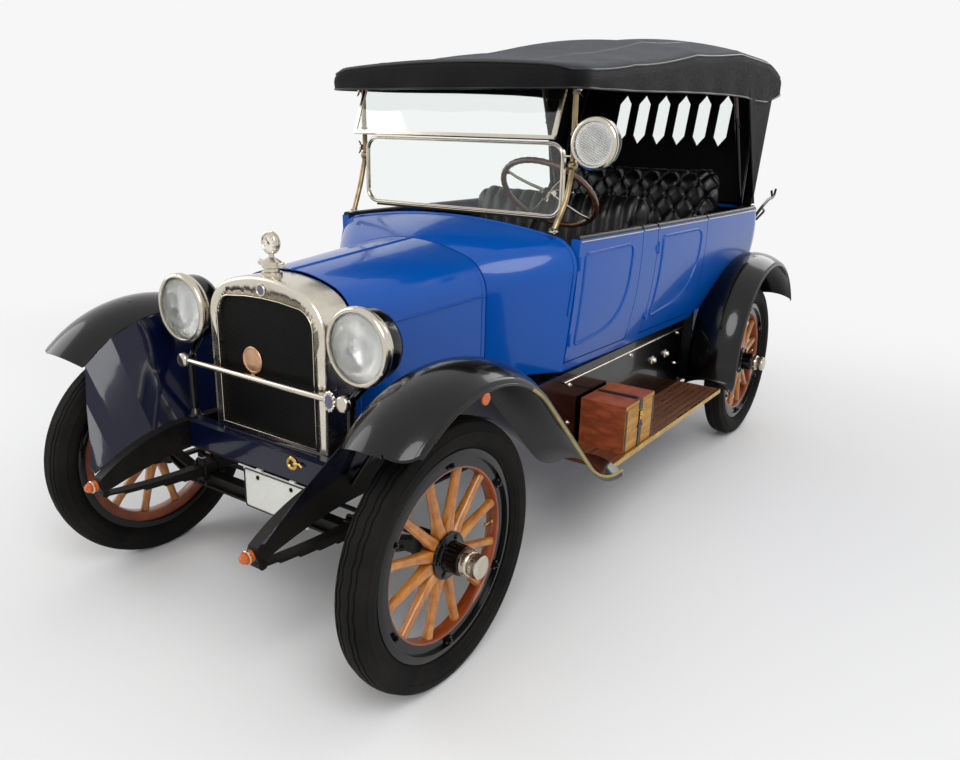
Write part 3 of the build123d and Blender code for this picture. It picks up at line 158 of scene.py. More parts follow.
def dress(material, *nodes):
    """Give CAD nodes their finish."""
    for node in nodes:
        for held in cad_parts[node].material_slots:
            held.material = material


dust_and_shade_film, given, place = new_effect("dust_and_shade_film", {
    "Paint": tint(20, 20, 22), "Dust": tint(120, 112, 98), "Amount": 0.3, "Shine": 0.3,
    "Scale": 4.0, "Low": 0.5,
})
cloud = noise(dust_and_shade_film, place, given["Scale"], 7.0)
specks = noise(dust_and_shade_film, place, 160.0, 3.0)
height = add_node(dust_and_shade_film, "SeparateXYZ", {"Vector": place}).outputs["Z"]
# More of the second colour low down: road dust on the chassis, and painted shade on the coach blue.
low_dust_and_shade = reckon(dust_and_shade_film, "MULTIPLY", spread(dust_and_shade_film, height, 1.0, 0.1), given["Low"])
laid = reckon(dust_and_shade_film, "ADD", spread(dust_and_shade_film, cloud, 0.42, 0.72), low_dust_and_shade)
laid = reckon(dust_and_shade_film, "MULTIPLY", laid, given["Amount"])
laid = reckon(dust_and_shade_film, "MULTIPLY", laid, spread(dust_and_shade_film, specks, 0.35, 0.75), clamp=True)
dull = reckon(dust_and_shade_film, "MULTIPLY_ADD", laid, 0.6, given["Shine"])
lead_out(dust_and_shade_film, blend(dust_and_shade_film, laid, given["Paint"], given["Dust"]), dull, specks)

chassis_black = finish("chassis_black", dust_and_shade_film, {
    "Paint": tint(10, 10, 11), "Dust": tint(58, 54, 48), "Amount": 0.4, "Shine": 0.42, "Low": 0.9,
}, bump=0.0003, Specular_IOR_Level=0.2)
dress(
    chassis_black, "frame", "front_axle", "rear_axle", "leaf_springs", "knuckle_left", "knuckle_right",
    "tie_rod", "drag_link", "drop_arm", "fuel_tank", "spare_carrier", "steering_column",
)


def arc(middle, radius, start, end, steps):
    """Points along an arc as pairs, from one angle to another in degrees."""
    turns = (math.radians(start + (end - start) * k / steps) for k in range(steps + 1))
    return [(middle[0] + radius * math.cos(a), middle[1] + radius * math.sin(a)) for a in turns]


def circle(radius, count, start=0.0, middle=(0.0, 0.0)):
    """Points round a circle as pairs."""
    return arc(middle, radius, start, start + 360, count)[:-1]


def quads(bm, rows, closed=True):
    """Faces between neighbouring rows of vertices; closed rows run right round."""
    for low, high in zip(rows, rows[1:]):
        for k in range(len(low) if closed else min(len(low), len(high)) - 1):
            after = (k + 1) % len(low)
            bm.faces.new((low[k], low[after], high[after], high[k]))


def turned(bm, profile, place=Matrix(), steps=48):
    """Turn a profile of (radius, height) round the place's z axis."""
    rings = []
    for radius, height in profile:
        line = [(0, 0)] if radius < 1e-6 else circle(radius, steps)
        rings.append([bm.verts.new(place @ Vector((x, y, height))) for x, y in line])
    for low, high in zip(rings, rings[1:]):
        for step in range(steps):
            after = (step + 1) % steps
            corners = [low[step % len(low)], low[after % len(low)], high[after % len(high)],
                       high[step % len(high)]]
            bm.faces.new(list(dict.fromkeys(corners)))


def swept(bm, points, radius, sides=10, closed=False, squash=1.0):
    """A round or flattened rod along points; radius is one number, or one for each point."""
    points = [Vector(p) for p in points]
    count = len(points)
    radii = radius if isinstance(radius, (list, tuple)) else [radius] * count
    side = None
    rings = []
    for step, point in enumerate(points):
        before = points[step - 1] if step or closed else point
        after = points[(step + 1) % count] if step < count - 1 or closed else point
        along = (after - before).normalized()
        if side is None:
            side = along.cross(UP if abs(along.z) < 0.9 else Vector((1, 0, 0)))
        side = (side - along * side.dot(along)).normalized()
        up = along.cross(side)
        rings.append([bm.verts.new(point + (side * c + up * s * squash) * radii[step])
                      for c, s in circle(1, sides)])
    quads(bm, rings + rings[:1] if closed else rings)
    if not closed:
        bm.faces.new(rings[0][::-1])
        bm.faces.new(rings[-1])


def slab(bm, outline, low, high, place=Matrix()):
    """A plate: an outline in the place's xy plane, from one height to another."""
    rows = [[bm.verts.new(place @ Vector((x, y, z))) for x, y in outline] for z in (low, high)]
    bm.faces.new(rows[0][::-1])
    bm.faces.new(rows[1])
    quads(bm, rows)


def block(bm, left, right, front, rear, low, high):
    """A box between two places from side to side, two stations and two heights."""
    front, rear = front + FRONT_AXLE, rear + FRONT_AXLE
    slab(bm, [(left, front), (right, front), (right, rear), (left, rear)], low, high)


def settle(bm, name, material, body="body", bevel=0.0, smooth=35):
    """Finish a mesh as one piece of the car that moves with a body."""
    bmesh.ops.recalc_face_normals(bm, faces=bm.faces)
    mesh = bpy.data.meshes.new(name)
    bm.to_mesh(mesh)
    bm.free()
    mesh.polygons.foreach_set("use_smooth", [True] * len(mesh.polygons))
    mesh.set_sharp_from_angle(angle=math.radians(smooth))
    mesh.materials.append(material)
    made = bpy.data.objects.new(name, mesh)
    bpy.context.scene.collection.objects.link(made)
    if bevel:
        edge = made.modifiers.new("edges", "BEVEL")
        edge.width, edge.segments, edge.limit_method = bevel, 2, "ANGLE"
        edge.angle_limit = math.radians(40)
    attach(made, body)
    return made


def facing(direction, origin):
    """A place whose z axis looks along a direction."""
    return Matrix.Translation(origin) @ Vector(direction).to_track_quat("Z", "Y").to_matrix().to_4x4()


def nut(bm, origin, direction, size=0.009, height=0.007):
    """A hexagon nut on a washer, with the bolt's rounded end standing out of it."""
    where = facing(direction, origin)
    turned(bm, [(0, 0.0), (size * 1.35, 0.0), (size * 1.35, 0.0012), (0, 0.0012)], where, 18)
    slab(bm, circle(size, 6), 0.0012, height, where)
    turned(bm, [(size * 0.5, height - 0.001), (size * 0.5, height + 0.003), (0, height + 0.0045)],
           where, 12)


SIDES = (("left", 1), ("right", -1))
WHEELBASE = 2.794
SPRING_CLIPS = ((0.0, 0.363, 0.451), (WHEELBASE, 0.433, 0.520))  # station, the legs' lower and upper ends
bm = bmesh.new()
for sign in (1, -1):
    for station, low, top in SPRING_CLIPS:
        hoop = ((0.357, low), (0.357, top), (0.362, top + 0.006), (0.398, top + 0.006),
                (0.403, top), (0.403, low))
        for step in (-0.032, 0.032):
            swept(bm, [at(sign * x, station + step, z) for x, z in hoop], 0.005, 8)
    for station, z in ((-0.417, 0.465), (0.417, 0.465), (2.412, 0.515), (3.176, 0.515)):
        nut(bm, at(sign * 0.402, station, z), (sign, 0, 0), 0.011)
    for step in range(14):
        rivet = facing((sign, 0, 0), at(sign * 0.4, 0.14 + step * 0.21, 0.60))
        turned(bm, [(0.008, 0), (0.0075, 0.003), (0, 0.0048)], rivet, 12)
    for station in (1.103, 1.623, 2.143):
        for z in (0.565, 0.605):
            nut(bm, at(sign * 0.408, station, z), (sign, 0, 0), 0.008)
settle(bm, "spring_clips_and_bolts", chassis_black)

# Engine block and exhaust: cast iron in dull grey-green, with plugs, head nuts and a fan, and
# a steel pipe gone brown with heat.
iron = finish("engine_iron", dust_and_shade_film, {
    "Paint": tint(66, 72, 66), "Dust": tint(58, 48, 38), "Amount": 0.7, "Shine": 0.55,
    "Scale": 9.0, "Low": 0.4,
}, bump=0.0012)
hot_steel = finish("exhaust_steel", dust_and_shade_film, {
    "Paint": tint(104, 88, 74), "Dust": tint(128, 84, 56), "Amount": 0.9, "Shine": 0.5,
    "Scale": 7.0, "Low": 0.5,
}, bump=0.0008, Metallic=0.6)
dress(iron, "engine_block")
dress(hot_steel, "exhaust")
HEAD_TOP = 1.058
bm = bmesh.new()
for k in range(4):
    plug = Matrix.Translation(at(0.0, 0.215 + k * 0.09, HEAD_TOP))
    turned(bm, [(0.012, 0), (0.012, 0.012), (0.006, 0.016), (0.005, 0.034), (0.0, 0.036)], plug, 16)
for k in range(7):
    for x in (-0.045, 0.045):
        nut(bm, at(x, 0.185 + k * 0.055, HEAD_TOP), UP, 0.008)
for k in range(4):
    blade = Matrix.Translation(at(0, 0.098, 0.76)) @ Matrix.Rotation(math.pi / 2 * k + 0.4, 4, "Y")
    blade = blade @ Matrix.Rotation(math.pi / 2, 4, "X") @ Matrix.Rotation(0.35, 4, "Y")
    slab(bm, [(-0.018, 0.02), (0.018, 0.02), (0.045, 0.17), (-0.03, 0.175)], -0.001, 0.001, blade)
settle(bm, "plugs_head_nuts_and_fan", iron, bevel=0.0004)

# Road wheels: twelve ash spokes driven into a two-piece felloe, clamped between the hub's
# flanges by bolts. The wood is varnished, the felloe's face and the rim are enamelled black.
grain, given, place = new_effect("grain", {
    "Light": tint(214, 140, 62), "Dark": tint(150, 80, 26), "Stretch": (1, 1, 1),
    "Shine": 0.3, "Rings": 6.0,
})
drawn = add_node(grain, "VectorMath", {0: place, 1: given["Stretch"]}, operation="MULTIPLY").outputs[0]
bands = reckon(grain, "MULTIPLY", noise(grain, drawn, 1.3, 3.0), given["Rings"])
bands = reckon(grain, "PINGPONG", bands, 1.0)
fibre = noise(grain, drawn, 14.0, 6.0, Roughness=0.7)
shade = reckon(grain, "MULTIPLY_ADD", fibre, 0.6, -0.08)
shade = reckon(grain, "MULTIPLY_ADD", bands, 0.55, shade, clamp=True)
gloss = reckon(grain, "MULTIPLY_ADD", fibre, 0.25, given["Shine"])
lead_out(grain, blend(grain, shade, given["Light"], given["Dark"]), gloss, fibre)

polish, given, place = new_effect("polish", {
    "Metal": tint(205, 198, 184), "Tarnish": tint(150, 132, 104), "Age": 0.3, "Shine": 0.12,
})
scratch = noise(polish, place, 240.0, 2.0)
blotch = spread(polish, noise(polish, place, 11.0, 8.0, Roughness=0.65), 0.45, 0.75)
aged = reckon(polish, "MULTIPLY", blotch, given["Age"])
dull = reckon(polish, "MULTIPLY_ADD", aged, 0.5, given["Shine"])
dull = reckon(polish, "MULTIPLY_ADD", scratch, 0.08, dull)
lead_out(polish, blend(polish, aged, given["Metal"], given["Tarnish"]), dull, scratch)

spoke_ash = finish("varnished_spokes", grain, {
    "Light": tint(206, 138, 58), "Dark": tint(138, 74, 24), "Stretch": (26, 9, 9), "Shine": 0.26,
}, bump=0.0003, Coat_Weight=0.6, Coat_Roughness=0.12)
felloe_ash = finish("varnished_felloe", grain, {
    "Light": tint(158, 74, 26), "Dark": tint(92, 38, 12), "Stretch": (30, 5, 5), "Shine": 0.28,
}, bump=0.0003, Coat_Weight=0.5, Coat_Roughness=0.15)
enamel_black = finish("black_enamel", dust_and_shade_film, {
    "Paint": tint(7, 8, 10), "Dust": tint(46, 44, 42), "Amount": 0.08, "Shine": 0.2, "Low": 0.5,
}, bump=0.00008, Coat_Weight=0.45, Coat_Roughness=0.06, Specular_IOR_Level=0.15)
nickel = finish("nickel_plate", polish, {"Age": 0.35}, bump=0.00005, Metallic=1.0)
brass = finish("brass", polish, {
    "Metal": tint(206, 170, 96), "Tarnish": tint(140, 100, 52), "Age": 0.5, "Shine": 0.2,
}, bump=0.00005, Metallic=1.0)
SPOKE_CUTS = (  # distance from the hub, half thickness along the axle, half width, squareness
    (0.044, 0.020, 0.0112, 9), (0.074, 0.020, 0.0186, 9), (0.084, 0.0195, 0.0184, 5),
    (0.104, 0.0185, 0.0168, 3), (0.140, 0.0172, 0.0155, 2.3), (0.200, 0.0158, 0.0146, 2),
    (0.244, 0.0148, 0.0142, 2), (0.260, 0.0152, 0.0152, 2.6), (0.272, 0.0152, 0.0152, 3),
)
OUTWARD = Vector((1, 0, 0))  # along the axle, away from the car
AXLE = Matrix.Rotation(math.pi / 2, 4, "Y")  # turns a z axis into the axle's direction


def wheel_spokes():
    """Twelve spokes, wedge-shaped where they meet, oval along their length."""
    bm = bmesh.new()
    for y, z in circle(1, 12, 15):
        along, across = Vector((0, y, z)), Vector((0, -z, y))
        rings = []
        for reach, thick, wide, square in SPOKE_CUTS:
            ring = []
            for c, s in circle(1, 20):
                shape = (abs(c) ** square + abs(s) ** square) ** (-1 / square)
                ring.append(bm.verts.new(along * reach + OUTWARD * c * shape * thick
                                         + across * s * shape * wide))
            rings.append(ring)
        quads(bm, rings)
    return bm


def wheel_felloe():
    """The wooden ring, its inner corners rounded off between the spokes."""
    bm = bmesh.new()
    half = [(0.305, -0.024), (0.274, -0.024), (0.270, -0.0225), (0.268, -0.019)]
    turned(bm, half + [(0.2675, 0.0)] + [(radius, -height) for radius, height in half[::-1]], AXLE, 96)
    return bm


def wheel_steel(rear):
    """The rim, the felloe's painted face, the hub's flanges and barrel, and all that bolts to them."""
    bm = bmesh.new()
    half = [(0.305, -0.034), (0.3055, -0.0365), (0.327, -0.0365), (0.3305, -0.0345), (0.3305, -0.0315),
            (0.328, -0.030), (0.317, -0.0295)]
    turned(bm, half + [(radius, -height) for radius, height in half[::-1]] + half[:1], AXLE, 120)
    turned(bm, [(0.3048, 0.0238), (0.3048, 0.0252), (0.2765, 0.0252), (0.2755, 0.0238)], AXLE, 96)
    turned(bm, [(0.044, 0.0195), (0.0725, 0.0195), (0.0742, 0.0215), (0.0742, 0.0285), (0.0725, 0.0303),
                (0.054, 0.0303), (0.050, 0.033), (0.048, 0.040), (0.047, 0.078), (0.0455, 0.084),
                (0.038, 0.086),
                (0.0, 0.086)], AXLE, 64)
    turned(bm, [(0.044, -0.0195), (0.0725, -0.0195), (0.0742, -0.0215), (0.0742, -0.0285),
                (0.0725, -0.0303), (0.046, -0.0303), (0.042, -0.034), (0.042, -0.045),
                (0.021, -0.045), (0.021, 0.07)],
                AXLE, 64)
    for y, z in circle(0.0605, 6):
        head = facing(OUTWARD, (0.0303, y, z))
        turned(bm, [(0.0085, 0), (0.0085, 0.003), (0.006, 0.0055), (0, 0.0065)], head, 16)
        nut(bm, (-0.0303, y, z), -OUTWARD, 0.007, 0.006)
    for y, z in circle(1, 6, 30):
        spot, across = Vector((0, y, z)), Vector((0, -z, y))
        lug = placed(across, spot, OUTWARD, spot * 0.296 + OUTWARD * 0.0252)
        slab(bm, [(-0.014, -0.012), (0.014, -0.012), (0.017, 0.010), (0.017, 0.022), (-0.017, 0.022),
                  (-0.017, 0.010)], 0.0, 0.006, lug)
        nut(bm, spot * 0.293 + OUTWARD * 0.0312, OUTWARD, 0.0085, 0.009)
    if rear:
        turned(bm, [(0.060, -0.030), (0.060, -0.038), (0.150, -0.040), (0.158, -0.044), (0.158, -0.058),
                    (0.161, -0.060), (0.158, -0.062), (0.158, -0.080), (0.161, -0.084), (0.153, -0.084),
                    (0.153, -0.046), (0.060, -0.046)], AXLE, 72)
    return bm


def wheel_cap():
    """The plated cap in two steps, with a groove between them and flats for a spanner."""
    bm = bmesh.new()
    turned(bm, [
        (0.038, 0.084), (0.0405, 0.087), (0.041, 0.092), (0.0405, 0.108), (0.038, 0.112), (0.035, 0.113),
        (0.0345, 0.117), (0.0362, 0.119), (0.0375, 0.123), (0.0375, 0.140), (0.0362, 0.145),
        (0.032, 0.1485), (0.020, 0.1498), (0, 0.150),
    ], AXLE, 48)
    for y, z in circle(1, 8):
        spot = Vector((0, y, z))
        flat = placed((0, -z, y), OUTWARD, spot, spot * 0.0405 + OUTWARD * 0.100)
        slab(bm, [(-0.0115, -0.006), (0.0115, -0.006), (0.0115, 0.006), (-0.0115, 0.006)],
             -0.002, 0.0012, flat)
    return bm


def valve_stem():
    """The air valve, which stands in from the rim between two spokes."""
    bm = bmesh.new()
    turned(bm, [(0.0075, 0), (0.0075, 0.004), (0.0042, 0.006), (0.0040, 0.030), (0.0052, 0.031),
                (0.0052, 0.040),
                (0, 0.042)], facing((0, -1, 0), (0.0, 0.268, 0.0)), 16)
    return bm


TRACK_HALF, AXLE_HEIGHT = 0.715, 0.425
CORNERS = [(f"{end}_{side}", at(sign * TRACK_HALF, station, AXLE_HEIGHT), sign)
           for end, station in (("front", 0.0), ("rear", WHEELBASE)) for side, sign in SIDES]
for corner, middle, sign in CORNERS:
    stand = Matrix.Translation(middle)
    if sign < 0:
        stand = stand @ Matrix.Rotation(math.pi, 4, "Z")
    for name, shape, material, slot in (
        ("spokes", wheel_spokes(), spoke_ash, "spoke_wood"),
        ("felloe", wheel_felloe(), felloe_ash, "spoke_wood"),
        ("rim_and_hub", wheel_steel(corner.startswith("rear")), enamel_black, "wheel_black"),
        ("hub_cap", wheel_cap(), nickel, "nickel"), ("valve", valve_stem(), brass, "nickel"),
    ):
        piece = settle(shape, f"{name}_{corner}", material, f"wheel_{corner}")
        piece.matrix_world = stand
        if name == "rim_and_hub":
            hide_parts(f"wheel_{corner}")

# Tyres: straight-sided cord tyres with a ribbed tread worn nearly smooth. The rubber has gone
# grey, and raised rings run round the walls where the mould's lettering is left off.
rubber_skin, given, place = new_effect("rubber_skin", {
    "Rubber": tint(30, 30, 31), "Bloom": tint(74, 71, 67), "Amount": 0.5,
})
pits = noise(rubber_skin, place, 320.0, 3.0)
bloom = spread(rubber_skin, noise(rubber_skin, place, 7.0, 8.0, Roughness=0.6), 0.35, 0.75)
bloom = reckon(rubber_skin, "MULTIPLY", bloom, given["Amount"])
dull = reckon(rubber_skin, "MULTIPLY_ADD", pits, 0.25, 0.62)
lead_out(rubber_skin, blend(rubber_skin, bloom, given["Rubber"], given["Bloom"]), dull, pits)
rubber = finish("tyre_rubber", rubber_skin, {
    "Rubber": tint(20, 20, 20), "Bloom": tint(44, 40, 36), "Amount": 0.5,
}, bump=0.0006, Specular_IOR_Level=0.12)

WALL_CUT = (  # half width, radius, how far the zigzag moves it
    (0.000, 0.317, 0), (0.029, 0.317, 0), (0.0295, 0.330, 0), (0.034, 0.335, 0), (0.043, 0.345, 0),
    (0.0445, 0.3445, 0), (0.0468, 0.348, 0), (0.0505, 0.356, 0), (0.0515, 0.3560, 0), (0.0534, 0.364, 0),
    (0.0538, 0.374, 0), (0.0530, 0.384, 0), (0.0538, 0.3855, 0), (0.0532, 0.3885, 0), (0.0515, 0.3895, 0),
    (0.0485, 0.399, 0), (0.0440, 0.4085, 0), (0.0425, 0.4135, 0), (0.0395, 0.4165, 0),
    (0.0335, 0.4185, 0.002), (0.0325, 0.4150, 0.002), (0.0285, 0.4155, 0.002),
    (0.0275, 0.4205, 0.002), (0.0180, 0.4225, 0.002), (0.0170, 0.4185, 0.002),
    (0.0130, 0.4190, 0.002), (0.0120, 0.4238, 0.002), (0.0050, 0.4246, 0.0), (0.0, 0.4247, 0.0),
)


def tyre_form():
    """One tyre, turned in 160 steps, with zigzag grooves between its ribs."""
    bm = bmesh.new()
    profile = list(WALL_CUT) + [(-half, radius, zig) for half, radius, zig in WALL_CUT[-2:0:-1]]
    rings = []
    for step, (y, z) in enumerate(circle(1, 160)):
        shift = (-1, 0, 1, 0)[step % 4]
        rings.append([bm.verts.new((half + shift * zig, radius * y, radius * z))
                      for half, radius, zig in profile])
    quads(bm, rings + rings[:1])
    return bm


TYRES = [(corner, f"wheel_{corner}", f"tyre_{corner}", Matrix.Translation(middle))
         for corner, middle, _ in CORNERS]
spare_stand = Matrix.Translation(at(0, 3.300, 0.800)) @ Matrix.Rotation(math.pi / 2, 4, "Z")
for name, body, solid, stand in TYRES + [("spare", "body", "spare_tyre", spare_stand)]:
    tyre = settle(tyre_form(), f"tread_{name}", rubber, body)
    tyre.matrix_world = stand
    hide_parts(solid)

# Radiator: a plated shell round a core of brazed brass tubes, painted black. The screw cap has
# two wings and carries a round heat gauge; the badges on shell, core and tie bar are plain.
cells, given, place = new_effect("core_cells",
                                 {"Opening_Shade": tint(3, 3, 3), "Edge": tint(24, 24, 23), "Shine": 0.45})
place = add_node(cells, "SeparateXYZ", {"Vector": place})
flat = add_node(cells, "CombineXYZ", {"X": place.outputs["X"], "Y": place.outputs["Z"]})
# The tube openings are painted near black for the shade inside them; the edges keep the paint's own black.
tubes = add_node(cells, "TexBrick", {
    "Vector": flat.outputs[0], "Scale": 1.0, "Mortar Size": 0.0011, "Mortar Smooth": 0.4,
    "Brick Width": 0.0095,
    "Row Height": 0.0085, "Color1": given["Opening_Shade"], "Color2": given["Opening_Shade"], "Mortar": given["Edge"],
})
dull = reckon(cells, "MULTIPLY_ADD", tubes.outputs["Fac"], -0.15, given["Shine"])
lead_out(cells, tubes.outputs["Color"], dull, tubes.outputs["Fac"])
core_black = finish("radiator_core", cells, bump=0.004, Specular_IOR_Level=0.1)
plated_shell = finish("plated_shell", polish, {
    "Metal": tint(214, 206, 192), "Tarnish": tint(168, 156, 136), "Age": 0.3, "Shine": 0.17,
}, bump=0.00004, Metallic=1.0)
dress(core_black, "radiator_core")
dress(nickel, "radiator_cap")

FORWARD = (0, -1, 0)
# x, height and station
ELEVATION = Matrix(((1, 0, 0, 0), (0, 0, 1, FRONT_AXLE), (0, 1, 0, 0), (0, 0, 0, 1)))
WINDOW_HALF, WINDOW_FOOT = 0.2278, 0.646
CORE_FACE, SHELL_BACK = -0.0165, -0.0152
upper = [(WINDOW_HALF, 0.92)] + arc((0.1578, 1.032), 0.07, 0, 80, 8) + [(0.08, 1.1105), (0.0, 1.113)]
upper += [(-x, z) for x, z in upper[-2::-1]]  # the window's upper part, right round
bm = bmesh.new()
bm.from_mesh(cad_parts["radiator_shell"].data)
shell = settle(bm, "shell_plating", plated_shell, smooth=30)
bm = bmesh.new()
slab(bm, upper, -0.045, SHELL_BACK, ELEVATION)
cutter = settle(bm, "cutter", plated_shell)
cut = shell.modifiers.new("window", "BOOLEAN")
cut.operation, cut.object, cut.solver = "DIFFERENCE", cutter, "EXACT"
bpy.context.view_layer.update()
shell.data = bpy.data.meshes.new_from_object(shell.evaluated_get(bpy.context.evaluated_depsgraph_get()))
shell.modifiers.clear()
shell.modifiers.new("flat_face", "WEIGHTED_NORMAL").keep_sharp = True
bpy.data.objects.remove(cutter)
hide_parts("radiator_shell")
bm = bmesh.new()
slab(bm, upper, CORE_FACE, SHELL_BACK, ELEVATION)
settle(bm, "core_upper", core_black)
bm = bmesh.new()
window = [(WINDOW_HALF, WINDOW_FOOT)] + upper + [(-WINDOW_HALF, WINDOW_FOOT)]
swept(bm, [at(x, -0.0305, z) for x, z in window], 0.002, 8, closed=True)
settle(bm, "window_bead", nickel, smooth=60)

GAUGE_STATION, GAUGE_HEIGHT = 0.013, 1.286
gauge = facing(FORWARD, at(0, GAUGE_STATION, GAUGE_HEIGHT))
bm = bmesh.new()
turned(bm, [(0.026, 0.0), (0.0335, 0.0), (0.034, 0.002), (0.0325, 0.0045), (0.029, 0.005), (0.0275, 0.003),
            (0.026, 0)], gauge, 40)
for back in (0.0, 0.014):
    rim = [at(x, GAUGE_STATION + back, z) for x, z in circle(0.034, 40, middle=(0, GAUGE_HEIGHT))]
    swept(bm, rim, 0.0024, 8, closed=True)
for sign in (1, -1):
    wing = [at(sign * x, 0.02, z) for x, z in ((0.030, 1.218), (0.050, 1.221), (0.0575, 1.226))]
    swept(bm, wing, [0.007, 0.0065, 0.0045], 12)
settle(bm, "gauge_rim_and_wings", nickel)
cream = finish("dial_enamel", polish, {
    "Metal": tint(224, 219, 204), "Tarnish": tint(196, 184, 160), "Age": 0.4, "Shine": 0.3,
}, Coat_Weight=0.6)
bm = bmesh.new()
turned(bm, [(0.0, 0.0), (0.0272, 0.0), (0.0272, 0.0016), (0.0, 0.0016)], gauge, 40)
settle(bm, "gauge_dial", cream)


def bar(bm, half, low, high, front, rear, place, half_high=None):
    """A flat mark on a dial, from one distance to another, that may narrow."""
    tip = half if half_high is None else half_high
    slab(bm, [(-half, low), (half, low), (tip, high), (-tip, high)], front, rear, place)


bm = bmesh.new()
for k in range(9):
    tick = gauge @ Matrix.Rotation(math.radians(-120 + 30 * k), 4, "Z")
    bar(bm, 0.0006, 0.019, 0.0245, 0.0016, 0.0021, tick)
bar(bm, 0.0015, -0.006, 0.021, 0.0022, 0.003, gauge @ Matrix.Rotation(0.7, 4, "Z"), 0.0004)
turned(bm, [(0.0032, 0.0016), (0.0032, 0.0036), (0, 0.0042)], gauge, 16)
settle(bm, "gauge_needle", enamel_black)

badge = facing(FORWARD, at(-0.075, CORE_FACE, 0.890)) @ Matrix.Diagonal((1.3, 1.3, 1.0, 1.0))
shell_badge = facing(FORWARD, at(0, -0.0305, 1.139))
medallion = facing(FORWARD, at(0.335, -0.0725, 0.845)) @ Matrix.Diagonal((0.82, 1.12, 1.0, 1.0))
bm = bmesh.new()
turned(bm, [(0.0, 0.0), (0.035, 0.0), (0.036, 0.002), (0.0345, 0.0042), (0.031, 0.0044), (0.0295, 0.0026),
            (0.016, 0.0034), (0.0, 0.0042)], badge, 48)
for x, y in circle(0.033, 24):
    turned(bm, [(0.0016, 0.003), (0.0013, 0.0052), (0, 0.0058)], badge @ Matrix.Translation((x, y, 0)), 8)
bar(bm, 0.005, -0.052, -0.033, 0.0, 0.003, badge, 0.007)
pale_bronze = finish("pale_bronze", polish, {
    "Metal": tint(214, 172, 138), "Tarnish": tint(126, 84, 58), "Age": 0.9, "Shine": 0.3,
}, bump=0.0002, Metallic=1.0)
settle(bm, "core_badge", pale_bronze)
badge_enamel = finish("badge_enamel", dust_and_shade_film, {
    "Paint": tint(58, 60, 92), "Dust": tint(120, 112, 120), "Amount": 0.2, "Shine": 0.15, "Low": 0.1,
}, Coat_Weight=1.0, Coat_Roughness=0.05)
bm = bmesh.new()
turned(bm, [(0.0, 0.0), (0.0155, 0.0), (0.0155, 0.0022), (0.0, 0.003)], shell_badge, 32)
turned(bm, [(0.0, 0.003), (0.021, 0.003), (0.0205, 0.0052), (0.0, 0.0062)], medallion, 32)
settle(bm, "badge_fields", badge_enamel)
bm = bmesh.new()
turned(bm, [(0.015, 0.0), (0.0205, 0.0), (0.021, 0.0018), (0.0195, 0.0036), (0.0165, 0.0036),
            (0.015, 0.0016),
            (0.015, 0.0)], shell_badge, 40)
for x, y in circle(0.0245, 12):
    bead = medallion @ Matrix.Translation((x, y, 0))
    turned(bm, [(0.0068, 0.0), (0.0072, 0.0022), (0.0052, 0.0052), (0, 0.006)], bead, 12)
turned(bm, [(0, -0.004), (0.027, -0.004), (0.0275, 0.0), (0.024, 0.004), (0.0205, 0.003)], medallion, 32)
settle(bm, "badge_rims", nickel)
bm = bmesh.new()
turned(bm, [(0.012, 0), (0.023, 0), (0.024, 0.002), (0.021, 0.005), (0.015, 0.006),
            (0.012, 0.002), (0.012, 0)],
       facing(FORWARD, at(0.172, -0.0868, 0.604)), 32)
latch = [at(0.186, -0.092, 0.606), at(0.214, -0.094, 0.612), at(0.224, -0.094, 0.604)]
swept(bm, latch, [0.005, 0.0045, 0.004], 10)
settle(bm, "crank_socket", brass)

# Bonnet, cowl, body and doors: pressed sheet steel in coach blue under clear varnish, mottled a
# little and darker towards the bottom, which is painted shade, with fine swirls of polishing.
# Half-round mouldings are laid on each door.
# Its second colour is a darker, duller blue laid thickest low down: painted shade on the lower body.
coach_blue = finish("coach_blue", dust_and_shade_film, {
    "Paint": tint(4, 78, 164), "Dust": tint(26, 80, 142), "Amount": 0.14, "Shine": 0.22,
    "Scale": 1.6, "Low": 0.7,
}, bump=0.00005, Coat_Weight=0.4, Coat_Roughness=0.04, Specular_IOR_Level=0.15)
dress(
    coach_blue, "bonnet_left", "bonnet_right", "cowl", "body_tub", "door_front_left", "door_front_right",
    "door_rear_left", "door_rear_right",
)


def skin(name):
    """The surface of a node, for trim to lie on."""
    bm = bmesh.new()
    bm.from_mesh(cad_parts[name].data)
    tree = BVHTree.FromBMesh(bm)
    bm.free()
    return tree


def touched(tree, sign, places):
    """Where level lines from the car's side meet a surface, at pairs of station and height."""
    met = (tree.ray_cast(at(sign, station, z), Vector((-sign, 0, 0)))[0] for station, z in places)
    return [hit for hit in met if hit]


def rounded(points, radius, closed=True, steps=6):
    """A line of points with each corner turned into a curve; radius may differ by corner."""
    points = [Vector(p) for p in points]
    radii = radius if isinstance(radius, (list, tuple)) else [radius] * len(points)
    line = []
    for k, point in enumerate(points):
        if not closed and k in (0, len(points) - 1):
            line.append(point)
            continue
        before, after = points[k - 1], points[(k + 1) % len(points)]
        start = point + (before - point).normalized() * radii[k]
        end = point + (after - point).normalized() * radii[k]
        for step in range(steps + 1):
            t = step / steps
            line.append(start * (1 - t) ** 2 + point * 2 * t * (1 - t) + end * t ** 2)
    return line


def run(points, gap):
    """The same closed line with more points, none further apart than the gap."""
    line = []
    for a, b in zip(points, points[1:] + points[:1]):
        count = max(1, int((b - a).length / gap))
        line += [a.lerp(b, k / count) for k in range(count)]
    return line


